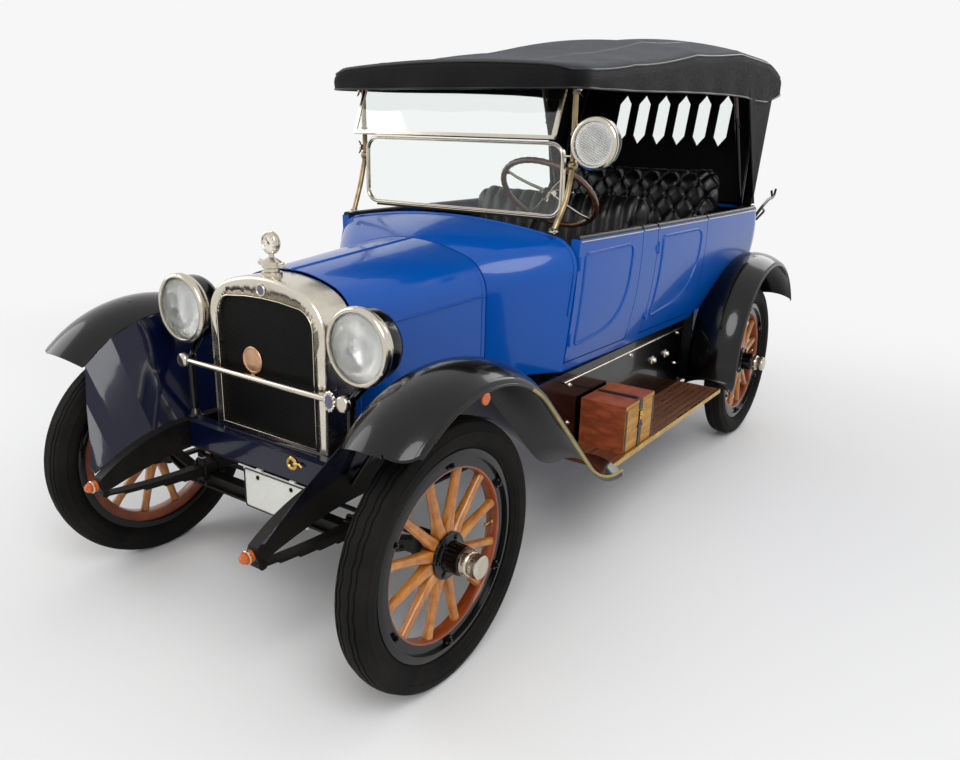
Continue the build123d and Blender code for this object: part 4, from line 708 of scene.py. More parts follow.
DOORS = {"front": (0.980, 1.495), "rear": (1.645, 2.195)}  # the stations of each door's edges
HINGE_HEIGHTS = (0.87, 1.17)
PANELS = {  # station and height of each moulding's corners, and how far each is rounded
    "front": (((1.030, 1.205), (1.415, 1.212), (1.400, 0.885), (1.030, 0.842)),
              (0.018, 0.045, 0.19, 0.022)),
    "rear": (((1.700, 1.217), (2.135, 1.218), (2.110, 0.905), (1.695, 0.852)), (0.018, 0.06, 0.24, 0.022)),
}
DOORWAYS = [(f"{end}_{side}", sign, *DOORS[end]) for end in DOORS for side, sign in SIDES]
for door, sign, front, rear in DOORWAYS:
    door_skin = skin(f"door_{door}")
    corners, radii = PANELS[door.split("_")[0]]
    outline = run(rounded([(y, z, 0) for y, z in corners], radii, steps=10), 0.02)
    bm = bmesh.new()
    swept(bm, touched(door_skin, sign, [p.xy for p in outline]), 0.0058, 8, closed=True)
    for hit in touched(door_skin, sign, [(front + 0.010, z) for z in HINGE_HEIGHTS]):
        swept(bm, [hit - UP * 0.026, hit + UP * 0.026], 0.0068, 10)
    settle(bm, f"moulding_{door}", coach_blue, f"door_{door}")

walls = skin("body_tub")
bm = bmesh.new()
for sign in (1, -1):
    for hit in touched(walls, sign, [(station, z) for z in HINGE_HEIGHTS for station in (0.964, 1.629)]):
        swept(bm, [hit + Vector((0, 0.006, -0.012)), hit + Vector((0, 0.006, 0.012))], 0.0062, 10)
settle(bm, "door_hinge_knuckles", coach_blue)

for side, sign in SIDES:
    leaf = skin(f"bonnet_{side}")
    bm = bmesh.new()
    shoulder = [(0.112 + 0.610 * k / 24, 1.020 + 0.038 * k / 24) for k in range(25)]
    swept(bm, touched(leaf, sign, shoulder), 0.0045, 10)
    for station in (0.125, 0.705):
        swept(bm, touched(leaf, sign, [(station, 0.735 + 0.03 * k) for k in range(14)]), 0.0022, 6)
    settle(bm, f"bonnet_hinge_and_beads_{side}", coach_blue, f"bonnet_{side}")
    bm = bmesh.new()
    for hit in touched(leaf, sign, [(0.24, 0.758), (0.60, 0.758)]):
        knob = facing((sign, 0, 0), hit)
        turned(bm, [(0, 0), (0.013, 0), (0.013, 0.002), (0.006, 0.004), (0.005, 0.012), (0, 0.013)],
               knob, 20)
        handle = [hit + Vector((sign * out_by, y, 0))
                  for out_by, y in ((0.010, -0.022), (0.013, 0), (0.010, 0.022))]
        swept(bm, handle, [0.0045, 0.0055, 0.0045], 10)
    settle(bm, f"bonnet_catches_{side}", nickel, f"bonnet_{side}")
bm = bmesh.new()
swept(bm, [at(0, 0.106, 1.190), at(0, 0.726, 1.2385)], 0.0046, 12)
settle(bm, "bonnet_hinge_rod", coach_blue)

bm = bmesh.new()
cowl_skin = skin("cowl")
bead = []
for z, x in arc((0, 0), 1.5, -88, 88, 60):
    aim = Vector((x, 0, z))
    hit = cowl_skin.ray_cast(at(0, 0.966, 0.95) + aim, -aim)[0]
    if hit:
        bead.append(hit)
swept(bm, bead, 0.0055, 8)
settle(bm, "cowl_bead", coach_blue)

# Trim: black buttoned leather. A padded roll runs along the body's top edge, cut at each door,
# and flat panels line the doors and sides; a nickel bead closes the roll's outer side.
hide, given, place = new_effect("hide", {
    "Dye": tint(13, 12, 12), "Worn": tint(44, 39, 36), "Wear": 0.35, "Shine": 0.36,
})
pebble = add_node(hide, "TexVoronoi", {"Vector": place, "Scale": 520.0},
                  feature="SMOOTH_F1").outputs["Distance"]
cloud = noise(hide, place, 9.0, 7.0, Roughness=0.65)
rubbed = reckon(hide, "MULTIPLY", spread(hide, cloud, 0.45, 0.78), given["Wear"])
dull = reckon(hide, "MULTIPLY_ADD", cloud, 0.28, given["Shine"])
bumps = reckon(hide, "MULTIPLY_ADD", pebble, 0.5, noise(hide, place, 46.0, 4.0, Distortion=1.2))
lead_out(hide, blend(hide, rubbed, given["Dye"], given["Worn"]), dull, bumps)
leather = finish("black_leather", hide, {"Shine": 0.22}, bump=0.0009, Coat_Weight=0.2, Coat_Roughness=0.25,
                 Specular_IOR_Level=0.25)

BELT = 1.262
REAR_PILLAR, TAIL_TURN = 2.205, 2.86  # where the body's side begins behind the doors, and the tail's middle
door_skins = [skin(f"door_{door}") for door, *_ in DOORWAYS]


def belt_line(start, end, sign, depth=0.019, count=24):
    """Points over the middle of the body's top edge between two stations."""
    line = []
    for k in range(count + 1):
        place = (start + (end - start) * k / count, BELT - 0.012)
        hits = [hit for tree in (walls, *door_skins) for hit in touched(tree, sign, [place])
                if hit.x * sign > 0]
        if hits:
            line.append(Vector((hits[0].x - sign * depth, hits[0].y, BELT)))
    return line


def roll(bm, line):
    """The padded roll along a line at the belt."""
    swept(bm, [p + UP * 0.002 for p in line], 0.0165, 14, squash=0.8)


for door, sign, front, rear in DOORWAYS:
    line = belt_line(front + 0.006, rear - 0.006, sign)
    bm = bmesh.new()
    roll(bm, line)
    settle(bm, f"door_roll_{door}", leather, f"door_{door}", smooth=60)
    bm = bmesh.new()
    swept(bm, [p + Vector((sign * 0.0205, 0, -0.008)) for p in line], 0.0026, 8)
    settle(bm, f"door_belt_bead_{door}", nickel, f"door_{door}")
tail = []
for y, x in arc((0, 0), 1, -90, 90, 48):
    aim = Vector((x, y, 0))
    hit = walls.ray_cast(at(0, TAIL_TURN, BELT - 0.012) + aim * 1.4, -aim)[0]
    if hit:
        tail.append(Vector((hit.x, hit.y, BELT)))
right_side, left_side = (belt_line(REAR_PILLAR, 2.84, sign, 0.0) for sign in (-1, 1))
whole = right_side + tail + left_side[::-1]
middle = at(0, 2.5, BELT)
inward = []
for k, point in enumerate(whole):
    along = (whole[min(k + 1, len(whole) - 1)] - whole[max(k - 1, 0)]).normalized()
    across = along.cross(UP)
    inward.append(across if across.dot(middle - point) > 0 else -across)
pillars = [(sign, belt_line(1.503, 1.637, sign, count=6)) for sign in (1, -1)]
bm = bmesh.new()
roll(bm, [p + n * 0.019 for p, n in zip(whole, inward)])
for sign, line in pillars:
    roll(bm, line)
settle(bm, "belt_roll", leather, smooth=60)
bm = bmesh.new()
swept(bm, [p - n * 0.0015 - UP * 0.006 for p, n in zip(whole, inward)], 0.0026, 8)
for sign, line in pillars:
    swept(bm, [p + Vector((sign * 0.0205, 0, -0.006)) for p in line], 0.0026, 8)
settle(bm, "belt_bead", nickel)

LINING_FOOT, LINING_TOP = 0.80, 1.248


def lining(tree, name, sign, front, rear, body="body"):
    """A flat leather panel on the inside of a wall, 4 mm proud, with two sewn edges."""
    bm = bmesh.new()
    aim = Vector((sign, 0, 0))
    grid = []
    for row in range(13):
        z = LINING_FOOT + (LINING_TOP - LINING_FOOT) * row / 12
        line = []
        for k in range(13):
            hit = tree.ray_cast(at(sign * 0.30, front + (rear - front) * k / 12, z), aim)[0]
            if hit:
                lift = 0.0035 if 0 < row < 12 and 0 < k < 12 else 0.0005
                line.append(bm.verts.new(hit - aim * lift))
        grid.append(line)
    quads(bm, grid, closed=False)
    for z in (LINING_FOOT + 0.10, LINING_TOP - 0.06):
        stations = [front + (rear - front) * (0.04 + 0.92 * k / 12) for k in range(13)]
        hits = [tree.ray_cast(at(sign * 0.30, station, z), aim)[0] for station in stations]
        seam = [hit - aim * 0.004 for hit in hits if hit]
        if len(seam) > 2:
            swept(bm, seam, 0.0026, 6)
    settle(bm, name, leather, body, smooth=50)


for door, sign, front, rear in DOORWAYS:
    lining(skin(f"door_{door}"), f"door_lining_{door}", sign, front + 0.012, rear - 0.012, f"door_{door}")
for side, sign in SIDES:
    lining(walls, f"pillar_lining_{side}", sign, 1.503, 1.637)
    lining(walls, f"quarter_lining_{side}", sign, 2.21, TAIL_TURN)
bm = bmesh.new()
rows = []
for z in (LINING_FOOT, 0.95, 1.10, LINING_TOP):
    aims = [Vector((x, y, 0)) for y, x in arc((0, 0), 1, -84, 84, 32)]
    rows.append([bm.verts.new(walls.ray_cast(at(0, TAIL_TURN, z), aim)[0] - aim * 0.004) for aim in aims])
quads(bm, rows, closed=False)
settle(bm, "tail_lining", leather, smooth=60)

# Seats: coil springs and horsehair under black leather. The front back is sewn in upright pleats,
# the rear one is drawn down with buttons into diamonds that run over its top.
bench = bpy.data.scenes.new("bench")  # a scene of their own, so that only the pad is worked out


def as_mesh(piece):
    """A piece's mesh with its modifiers worked in."""
    bench.view_layers[0].update()
    return bpy.data.meshes.new_from_object(piece.evaluated_get(bench.view_layers[0].depsgraph))


def stuffed(name, outline, half, corner, swell, sewn):
    """A cover sewn to an outline of station and height, blown out by its stuffing, then sewn down."""
    middle = Vector([sum(values) / len(outline) for values in zip(*outline)])
    reach = [max(abs(value - centre) for value in values) for values, centre in zip(zip(*outline), middle)]
    end = [-half + corner * (1 - math.cos(math.pi / 2 * k / 6)) for k in range(6)]
    steps = (end + [-half + corner + (half - corner) * 2 * k / 10 for k in range(11)]
             + [-x for x in end[::-1]])
    bm = bmesh.new()
    rings = []
    for x in steps:
        short = max(0.0, corner - (half - abs(x)))
        inset = corner - math.sqrt(max(0.0, corner ** 2 - short ** 2))
        shrink = [max(0.25, 1 - inset / size) for size in reach]
        places = [[c + (v - c) * s for v, c, s in zip(point, middle, shrink)] for point in outline]
        rings.append([bm.verts.new(at(x, *place)) for place in places])
    quads(bm, rings)
    bm.faces.new(rings[0][::-1])
    bm.faces.new(rings[-1])
    pad = settle(bm, name, leather, smooth=180)
    bench.collection.objects.link(pad)
    cover = pad.modifiers.new("cover", "REMESH")
    cover.mode, cover.voxel_size = "VOXEL", 0.014
    pad.data = as_mesh(pad)
    pad.modifiers.clear()
    cloth = pad.modifiers.new("stuffing", "CLOTH")
    cloth.settings.use_pressure = True
    cloth.settings.uniform_pressure_force = 4
    cloth.settings.effector_weights.gravity = 0
    for step in range(1, 21):
        bench.frame_set(step)
    blown = as_mesh(pad)
    pad.modifiers.clear()
    bench.frame_set(1)
    for vertex, moved in zip(pad.data.vertices, blown.vertices):
        push = moved.co - vertex.co
        vertex.co += push * min(1.0, swell / max(push.length, 1e-6))
    pad.modifiers.new("cover", "SUBSURF").levels = 1
    pad.data = as_mesh(pad)
    pad.modifiers.clear()
    moves = [vertex.normal * sewn(vertex.co, vertex.normal) for vertex in pad.data.vertices]
    for vertex, move in zip(pad.data.vertices, moves):
        vertex.co -= move
    pad.data.polygons.foreach_set("use_smooth", [True] * len(pad.data.polygons))
    bench.collection.objects.unlink(pad)
    return pad


def off_seam(value):
    """How far a number is from the nearest whole one."""
    return abs(value - round(value))


DIAMOND = (0.118, 0.150)  # width and height of one diamond
BUTTON_FOOT = 1.09
BACK_TOP = 1.425  # where the rear back curls over, along the car


def diamonds(place, normal):
    """How deep the rear back is drawn down at a place."""
    if normal.y > 0.35 or place.z < 1.02:
        return 0.0
    up = place.z + max(0.0, place.y - BACK_TOP)
    across, rise = place.x / DIAMOND[0], (up - BUTTON_FOOT) / DIAMOND[1]
    one, other = off_seam(across + rise), off_seam(across - rise)
    seam = 1 - 2 * min(one, other)
    return 0.013 * max(0.0, seam) ** 3.5 + 0.016 * math.exp(-(one ** 2 + other ** 2) / 0.012)


def pleats(pitch, depth):
    """Upright sewn channels across a pad."""
    def sewn(place, normal):
        if normal.y > 0.4 or normal.z < -0.4:
            return 0.0
        return depth * max(0.0, 1 - 2 * off_seam(place.x / pitch)) ** 3
    return sewn


def cushion_sewn(place, normal):
    """The cushion's pleats on top, and round its boxed side two welts, above and below."""
    if normal.z > 0.5:
        return pleats(0.088, 0.009)(place, normal)
    welts = (0.872, 0.955) if place.y < 0.5 else (0.888, 0.972)
    return sum(0.007 * math.exp(-((place.z - height) / 0.006) ** 2) for height in welts)


front_cushion = stuffed("front_cushion", (
    (1.432, 0.862), (1.426, 0.940), (1.446, 0.975), (1.520, 0.985), (1.700, 0.975), (1.790, 0.965),
    (1.800, 0.870),
), 0.500, 0.055, 0.024, cushion_sewn)
stuffed("front_back", (
    (1.800, 0.965), (1.815, 1.100), (1.842, 1.260), (1.862, 1.345), (1.890, 1.382), (1.920, 1.382),
    (1.940, 1.350), (1.932, 1.150), (1.915, 0.965),
), 0.508, 0.120, 0.020, pleats(0.072, 0.014))
rear_cushion = stuffed("rear_cushion", (
    (2.430, 0.878), (2.422, 0.958), (2.442, 0.993), (2.520, 1.005), (2.700, 0.995), (2.800, 0.985),
    (2.810, 0.885),
), 0.490, 0.060, 0.024, cushion_sewn)
rear_back = stuffed("rear_back", (
    (2.815, 0.990), (2.832, 1.120), (2.856, 1.300), (2.872, 1.420), (2.898, 1.474), (2.930, 1.480),
    (2.955, 1.450), (2.945, 1.200), (2.930, 0.990),
), 0.492, 0.110, 0.022, diamonds)
bpy.data.scenes.remove(bench)
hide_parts("front_seat")
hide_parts("rear_seat")

back_mesh = rear_back.data
back_skin = BVHTree.FromPolygons([v.co for v in back_mesh.vertices],
                                 [p.vertices for p in back_mesh.polygons])
buttons = [(column * DIAMOND[0] / 2, BUTTON_FOOT + row * DIAMOND[1] / 2)
           for row in range(-1, 7) for column in range(-9, 10) if (row + column) % 2 == 0]
bm = bmesh.new()
for x, z in buttons:
    hit, normal = back_skin.ray_cast(at(x, 2.4, z), Vector((0, 1, 0)))[:2]
    if hit and abs(x) <= 0.43 and z <= 1.46:
        turned(bm, [(0.0, -0.002), (0.010, -0.002), (0.0105, 0.002), (0.007, 0.0055), (0, 0.0065)],
               facing(normal, hit), 14)
settle(bm, "rear_back_buttons", leather, smooth=60)
bm = bmesh.new()
block(bm, -0.510, 0.510, 1.428, 1.905, 0.771, 0.868)
block(bm, -0.500, 0.500, 2.425, 2.925, 0.771, 0.885)
settle(bm, "seat_boxes", leather, bevel=0.008)
bm = bmesh.new()
rail = [at(x, station, z) for x, station, z in (
    (-0.36, 1.942, 1.270), (-0.36, 1.956, 1.262), (0.36, 1.956, 1.262), (0.36, 1.942, 1.270),
)]
swept(bm, rounded(rail, 0.008, False), 0.006, 10)
settle(bm, "coat_rail", nickel)

# Floor and board: a rubber mat, pedals and levers, and a varnished walnut board with dials
# hung under the cowl's rear edge.
walnut = finish("walnut", grain, {
    "Light": tint(118, 70, 38), "Dark": tint(58, 30, 16), "Stretch": (3, 22, 22), "Shine": 0.22,
}, bump=0.0003, Coat_Weight=0.8, Coat_Roughness=0.08)
mat_rubber = finish("floor_mat", rubber_skin, {
    "Rubber": tint(40, 34, 30), "Bloom": tint(78, 68, 58), "Amount": 0.6,
}, bump=0.0015)
FLOOR_TOP = 0.770
bm = bmesh.new()
for front, rear, half in ((0.99, 1.425, 0.50), (1.94, 2.42, 0.52)):
    block(bm, -half, half, front, rear, FLOOR_TOP, FLOOR_TOP + 0.005)
    for k in range(24):
        x = -half + 0.03 + (2 * half - 0.06) * k / 23
        block(bm, x - 0.004, x + 0.004, front + 0.02, rear - 0.02, FLOOR_TOP + 0.005, FLOOR_TOP + 0.0075)
settle(bm, "floor_mats", mat_rubber)
under = [(x, cowl_skin.ray_cast(at(x, 0.963, 1.10), UP)[0]) for x in (0.05 * k for k in range(-10, 11))]
outline = [(x, hit.z - 0.004) for x, hit in under if hit]
bm = bmesh.new()
slab(bm, [(outline[-1][0], 1.128)] + outline[::-1] + [(outline[0][0], 1.128)], 0.957, 0.971, ELEVATION)
settle(bm, "instrument_board", walnut, bevel=0.003)

REARWARD = (0, 1, 0)
DIALS = [(facing(REARWARD, at(x, 0.971, z)), size) for x, z, size in (
    (0.10, 1.200, 0.040), (-0.02, 1.200, 0.040), (-0.14, 1.205, 0.028), (0.20, 1.196, 0.024),
)]
bm = bmesh.new()
for dial, size in DIALS:
    turned(bm, [(size - 0.004, 0), (size + 0.004, 0), (size + 0.003, 0.005), (size - 0.001, 0.006),
                (size - 0.004, 0.002)], dial, 32)
for x in (-0.24, -0.29, 0.05):
    turned(bm, [(0, 0), (0.009, 0), (0.009, 0.004), (0.005, 0.006), (0.004, 0.018), (0.010, 0.020),
                (0.010, 0.026), (0, 0.028)], facing(REARWARD, at(x, 0.971, 1.160)), 20)
settle(bm, "dial_rims_and_knobs", nickel)
bm = bmesh.new()
for dial, size in DIALS:
    turned(bm, [(0, 0), (size - 0.003, 0), (size - 0.003, 0.002), (0, 0.002)], dial, 32)
settle(bm, "dial_faces", cream)
bm = bmesh.new()
for dial, size in DIALS:
    for k in range(11):
        tick = dial @ Matrix.Rotation(math.radians(-150 + 30 * k), 4, "Z")
        bar(bm, 0.0007, size * 0.7, size * 0.88, 0.002, 0.0024, tick)
    hand = dial @ Matrix.Rotation(0.6, 4, "Z")
    bar(bm, 0.0014, -size * 0.2, size * 0.75, 0.0026, 0.0032, hand, 0.0004)
pad = rounded([(-0.028, -0.036, 0), (0.028, -0.036, 0), (0.028, 0.036, 0), (-0.028, 0.036, 0)], 0.01)
for x, z in ((0.225, 0.90), (0.375, 0.90), (0.430, 0.86)):
    swept(bm, [at(x, 0.90, 0.772), at(x, 0.955, 0.83), at(x, 0.975, z)], 0.007, 10)
    slab(bm, [p.xy for p in pad], 0.0, 0.008, facing((0, 0.8, 0.6), at(x, 0.976, z)))
settle(bm, "dial_hands_and_pedals", enamel_black)
bm = bmesh.new()
swept(bm, [at(0.02, 1.16, 0.775), at(0.02, 1.20, 0.93), at(0.04, 1.23, 1.060)], [0.009, 0.008, 0.007], 12)
turned(bm, [(0.0, -0.020), (0.014, -0.014), (0.020, 0.0), (0.014, 0.014), (0.0, 0.020)],
       Matrix.Translation(at(0.042, 1.232, 1.075)), 20)
swept(bm, [at(-0.06, 1.14, 0.775), at(-0.06, 1.21, 1.00)], 0.008, 12)
swept(bm, [at(-0.06, 1.21, 1.00), at(-0.06, 1.235, 1.085)], [0.013, 0.012], 14)
turned(bm, [(0.060, 0), (0.058, 0.004), (0.024, 0.030), (0.016, 0.034), (0, 0.034)],
       Matrix.Translation(at(0.0, 1.150, 0.771)), 28)
settle(bm, "gear_and_brake_levers", nickel, smooth=50)

# Steering wheel: a dark varnished walnut rim, notched underneath for the fingers, on four
# nickel-plated arms, with the spark and gas levers on a quadrant over the hub.
HUB, COLUMN_FOOT = Vector((1.250, 1.400)), Vector((0.575, 0.655))  # stations and heights
RIM_RADIUS = 0.205
ARM = ((0.02, 0.004), (0.09, -0.006), (0.150, -0.010), (0.196, -0.006))  # reach and height along an arm
rake = HUB - COLUMN_FOOT
column_up = Vector((0, *rake)).normalized()
wheel_place = placed((1, 0, 0), column_up.cross(Vector((1, 0, 0))), column_up, at(0.310, *HUB))
bm = bmesh.new()
ring = [wheel_place @ Vector((x, y, 0)) for x, y in circle(RIM_RADIUS, 120)]
swept(bm, ring, [0.0125 if k % 3 else 0.0112 for k in range(120)], 14, closed=True)
rim = settle(bm, "steering_rim", walnut, "steering_wheel", smooth=60)
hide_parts("steering_wheel")
bm = bmesh.new()
for x, y in circle(1, 4, 45):
    out_by = Vector((x, y, 0))
    arm = [wheel_place @ (out_by * r + UP * h) for r, h in ARM]
    swept(bm, arm, [0.010, 0.0085, 0.0080, 0.0075], 12, squash=0.7)
    screw = wheel_place @ Matrix.Translation(out_by * 0.196 - UP * 0.013)
    turned(bm, [(0, 0), (0.013, 0), (0.013, 0.003), (0, 0.005)], screw, 12)
turned(bm, [(0.0, -0.014), (0.030, -0.014), (0.032, -0.006), (0.030, 0.010), (0.022, 0.014), (0.012, 0.016),
            (0.010, 0.030), (0, 0.032)], wheel_place, 32)
turned(bm, [(0.009, -0.10), (0.009, -0.014)], wheel_place, 16)
for foot, tip, knob in ((0.008, (0.085, 0.020), (0.088, 0.021)),
                        (-0.008, (-0.080, 0.030), (-0.083, 0.031))):
    swept(bm, [wheel_place @ Vector((foot, 0, 0.026)), wheel_place @ Vector((*tip, 0.030))],
          [0.003, 0.0025], 8)
    turned(bm, [(0, -0.006), (0.006, -0.003), (0.006, 0.003), (0, 0.006)],
           wheel_place @ Matrix.Translation((*knob, 0.030)), 12)
settle(bm, "steering_arms_and_hub", nickel, "steering_wheel", smooth=50)

# Windscreen: two panes of plate glass in plated brass channel, clamped by wing nuts to two
# brass stanchions, each with a ball at its joint.
clear_glass = finish("plate_glass", Base_Color=(0.94, 0.985, 0.965, 1), Roughness=0.015, IOR=1.45,
                     Transmission_Weight=1.0)
dress(clear_glass, "windscreen_glass")
dress(nickel, "windscreen_frame")
POST = ((0.508, 0.950, 1.290), (0.522, 1.010, 1.400), (0.522, 1.045, 1.525), (0.522, 1.040, 1.800),
        (0.522, 1.040, 1.852))
BALL = 0.020
ball = [(0, -BALL)] + arc((0, 0), BALL, -75, 75, 10) + [(0, BALL)]
bm = bmesh.new()
for sign in (1, -1):
    swept(bm, rounded([at(sign * x, y, z) for x, y, z in POST], 0.04, False), 0.0105, 14)
    turned(bm, ball, Matrix.Translation(at(sign * 0.522, 1.045, 1.525)), 24)
    for z in (1.494, 1.556, 1.640, 1.785):
        turned(bm, [(0.0105, -0.004), (0.0145, -0.002), (0.0145, 0.002), (0.0105, 0.004)],
               Matrix.Translation(at(sign * 0.522, 1.044, z)), 20)
    turned(bm, [(0.0, 0.0), (0.013, 0.002), (0.015, 0.010), (0.012, 0.017), (0.0, 0.020)],
           Matrix.Translation(at(sign * 0.522, 1.040, 1.838)), 20)
aged_brass = finish("aged_brass", polish, {
    "Metal": tint(150, 132, 100), "Tarnish": tint(78, 66, 48), "Age": 0.8, "Shine": 0.25,
}, bump=0.00005, Metallic=1.0)
settle(bm, "screen_stanchions", aged_brass, smooth=60)
bm = bmesh.new()
for sign in (1, -1):
    for station, z in ((1.038, 1.560), (1.034, 1.800)):
        knob = facing((sign, 0, 0), at(sign * 0.534, station, z))
        turned(bm, [(0, 0), (0.012, 0), (0.012, 0.008), (0.007, 0.014), (0, 0.015)], knob, 20)
        for way in (1, -1):
            wing = [knob @ Vector((0, way * y, z))
                    for y, z in ((0.008, 0.008), (0.020, 0.013), (0.027, 0.020))]
            swept(bm, wing, [0.006, 0.0055, 0.003], 10, squash=0.5)
    turned(bm, [(0, 0), (0.019, 0), (0.019, 0.003), (0.013, 0.006), (0.013, 0.012), (0, 0.012)],
           facing((sign * 0.25, -0.3, 1), at(sign * 0.507, 0.947, 1.289)), 24)
pane = [at(x, 1.022, z) for x, z in ((-0.490, 1.334), (0.490, 1.334), (0.490, 1.604), (-0.490, 1.604))]
swept(bm, rounded(pane, 0.062, steps=8), 0.0042, 8, closed=True)
settle(bm, "wing_nuts_and_screen_bead", nickel, smooth=50)
bm = bmesh.new()
block(bm, -0.45, 0.45, 1.036, 1.046, 1.316, 1.326)
settle(bm, "screen_sill_rubber", mat_rubber, bevel=0.002)

# Folding top: rubberised black cloth stretched over six bows and sewn to an upright valance. It
# sags between the bows; piping covers the seam, and a bound hem runs round the lower edge.
ROOF = (  # station, lower edge, height where the side meets the crown, crown
    (0.900, 1.790, 1.878, 1.902), (1.350, 1.800, 1.926, 1.966), (2.000, 1.824, 2.014, 2.076),
    (2.600, 1.836, 2.066, 2.136), (3.100, 1.828, 2.056, 2.118), (3.380, 1.885, 1.990, 2.030),
)
BOWS = (0.912, 0.966, 1.350, 2.000, 2.600, 3.100, 3.260, 3.372)
SAG = (0, 0.006, 0.013, 0.014, 0.012, 0.003, 0.004)
weave, given, place = new_effect("weave", {
    "Cloth": tint(9, 9, 11), "Sky_Glare": tint(124, 127, 134), "Fade": 0.5, "Shine": 0.6,
})
cloud = noise(weave, place, 2.6, 8.0, Roughness=0.6)
wave = {"Vector": place, "Scale": 190.0, "Distortion": 0.6}
threads, picks = (add_node(weave, "TexWave", wave, bands_direction=axis).outputs["Fac"] for axis in "XY")
turned_up = add_node(weave, "SeparateXYZ",
                     {"Vector": add_node(weave, "NewGeometry").outputs["Normal"]}).outputs["Z"]
# Up-facing cloth is lightened towards pale grey, mottled by noise: a painted reflection of the sky.
glare = spread(weave, cloud, 0.25, 0.75, **{"To Min": 0.45})
glare = reckon(weave, "MULTIPLY", glare, spread(weave, turned_up, 0.45, 0.97))
glare = reckon(weave, "MULTIPLY", glare, given["Fade"])
crossed = reckon(weave, "ADD", threads, picks)
crossed = reckon(weave, "MULTIPLY_ADD", crossed, 0.12, noise(weave, place, 14.0, 5.0, Distortion=0.8))
dull = reckon(weave, "MULTIPLY_ADD", cloud, 0.2, given["Shine"])
lead_out(weave, blend(weave, glare, given["Cloth"], given["Sky_Glare"]), dull, crossed)
top_cloth = finish("top_cloth", weave, bump=0.004, Sheen_Weight=0.06, Sheen_Roughness=0.5,
                   Specular_IOR_Level=0.12)


def roof_row(station, column):
    """A value of the roof's table at a station, on a smooth line through its rows."""
    k = max(0, min(len(ROOF) - 2, sum(station >= row[0] for row in ROOF) - 1))
    slopes = []
    for j in (k, k + 1):
        before, after = ROOF[max(j - 1, 0)], ROOF[min(j + 1, len(ROOF) - 1)]
        slopes.append((after[column] - before[column]) / (after[0] - before[0]))
    low, high = ROOF[k], ROOF[k + 1]
    span = high[0] - low[0]
    t = min(1.0, max(0.0, (station - low[0]) / span))
    return ((2 * t ** 3 - 3 * t ** 2 + 1) * low[column] + (t ** 3 - 2 * t ** 2 + t) * span * slopes[0]
            + (3 * t ** 2 - 2 * t ** 3) * high[column] + (t ** 3 - t ** 2) * span * slopes[1])


def roof_height(x, station):
    """The cloth's height over a place, with its sag between the bows."""
    shoulder, crown = roof_row(station, 2), roof_row(station, 3)
    sag = 0.0
    for start, end, depth in zip(BOWS, BOWS[1:], SAG):
        if start < station < end:
            t = (station - start) / (end - start)
            sag = depth * math.sin(math.pi * t) ** 0.8
    return (crown - (crown - shoulder) * min(1.0, abs(x) / 0.558) ** 2
            - sag * (1 - 0.25 * abs(x) / 0.6) - 0.002)


def roof_outline(gap):
    """Places round the roof's edge, none further apart than the gap."""
    front, rear, half = 0.902, 3.378, 0.618
    line = []
    for x, y, radius, turn in ((-half, front, 0.092, 180), (half, front, 0.092, 270),
                               (half, rear, 0.058, 0), (-half, rear, 0.058, 90)):
        middle = (x - math.copysign(radius, x), y + (radius if y == front else -radius))
        line += [Vector((*place, 0)) for place in arc(middle, radius, turn, turn + 90, 8)]
    return run(line, gap)


CLOTH_GAP = 0.001  # the cloth lies this far inside the modelled top
FRONT_SPINE, REAR_SPINE = 1.45, 2.83  # the line along the middle that the cloth's rows run to
edge_line = roof_outline(0.032)
bm = bmesh.new()
loops = []
for k, point in enumerate(edge_line):
    along = (edge_line[(k + 1) % len(edge_line)] - edge_line[k - 1]).normalized()
    inwards = Vector((-along.y, along.x, 0))
    if inwards.dot(Vector((0, 2.14, 0)) - point) < 0:
        inwards = -inwards
    curl = 0.024 + 0.036 * min(1.0, max(0.0, (abs(point.x) - 0.50) / 0.10))
    low = roof_row(point.y, 1)
    wall = roof_height(point.x, point.y) - curl - low
    spine = Vector((0, min(max(point.y, FRONT_SPINE), REAR_SPINE), 0))
    column = []
    for step in range(7):
        t = step / 6
        lean = 0.005 * math.sin(point.y * 21 + point.x * 17) * (1 - t) ** 2
        spot = point + inwards * (CLOTH_GAP + lean + 0.004 * (1 - t))
        column.append(at(spot.x, spot.y, low + 0.002 + wall * t))
    for step in range(1, 6):
        a = math.pi / 2 * step / 5
        spot = point + inwards * (CLOTH_GAP + curl * (1 - math.cos(a)))
        column.append(at(spot.x, spot.y, roof_height(spot.x, spot.y) - curl * (1 - math.sin(a))))
    start = point + inwards * (CLOTH_GAP + curl)
    for step in range(1, 19):
        spot = start.lerp(spine, step / 18)
        column.append(at(spot.x, spot.y, roof_height(spot.x, spot.y)))
    loops.append([bm.verts.new(p) for p in column])
quads(bm, loops + loops[:1], closed=False)
bmesh.ops.remove_doubles(bm, verts=bm.verts, dist=0.0005)
bmesh.ops.dissolve_degenerate(bm, edges=bm.edges, dist=0.0004)
hem, seam = ([loop[step].co.copy() for loop in loops] for step in (0, 8))
roof = settle(bm, "roof_cloth", top_cloth, smooth=60)
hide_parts("canopy")
bm = bmesh.new()
swept(bm, seam, 0.0045, 8, closed=True)
swept(bm, [p + UP * 0.004 for p in hem], 0.0048, 8, closed=True)
for sign in (1, -1):
    stations = [0.930 + 2.42 * k / 79 for k in range(80)]
    line = [at(sign * 0.33, station, roof_height(0.33, station) - 0.001) for station in stations]
    swept(bm, line, 0.0042, 8, squash=0.5)
hems = settle(bm, "roof_hem_and_piping", leather, smooth=60)

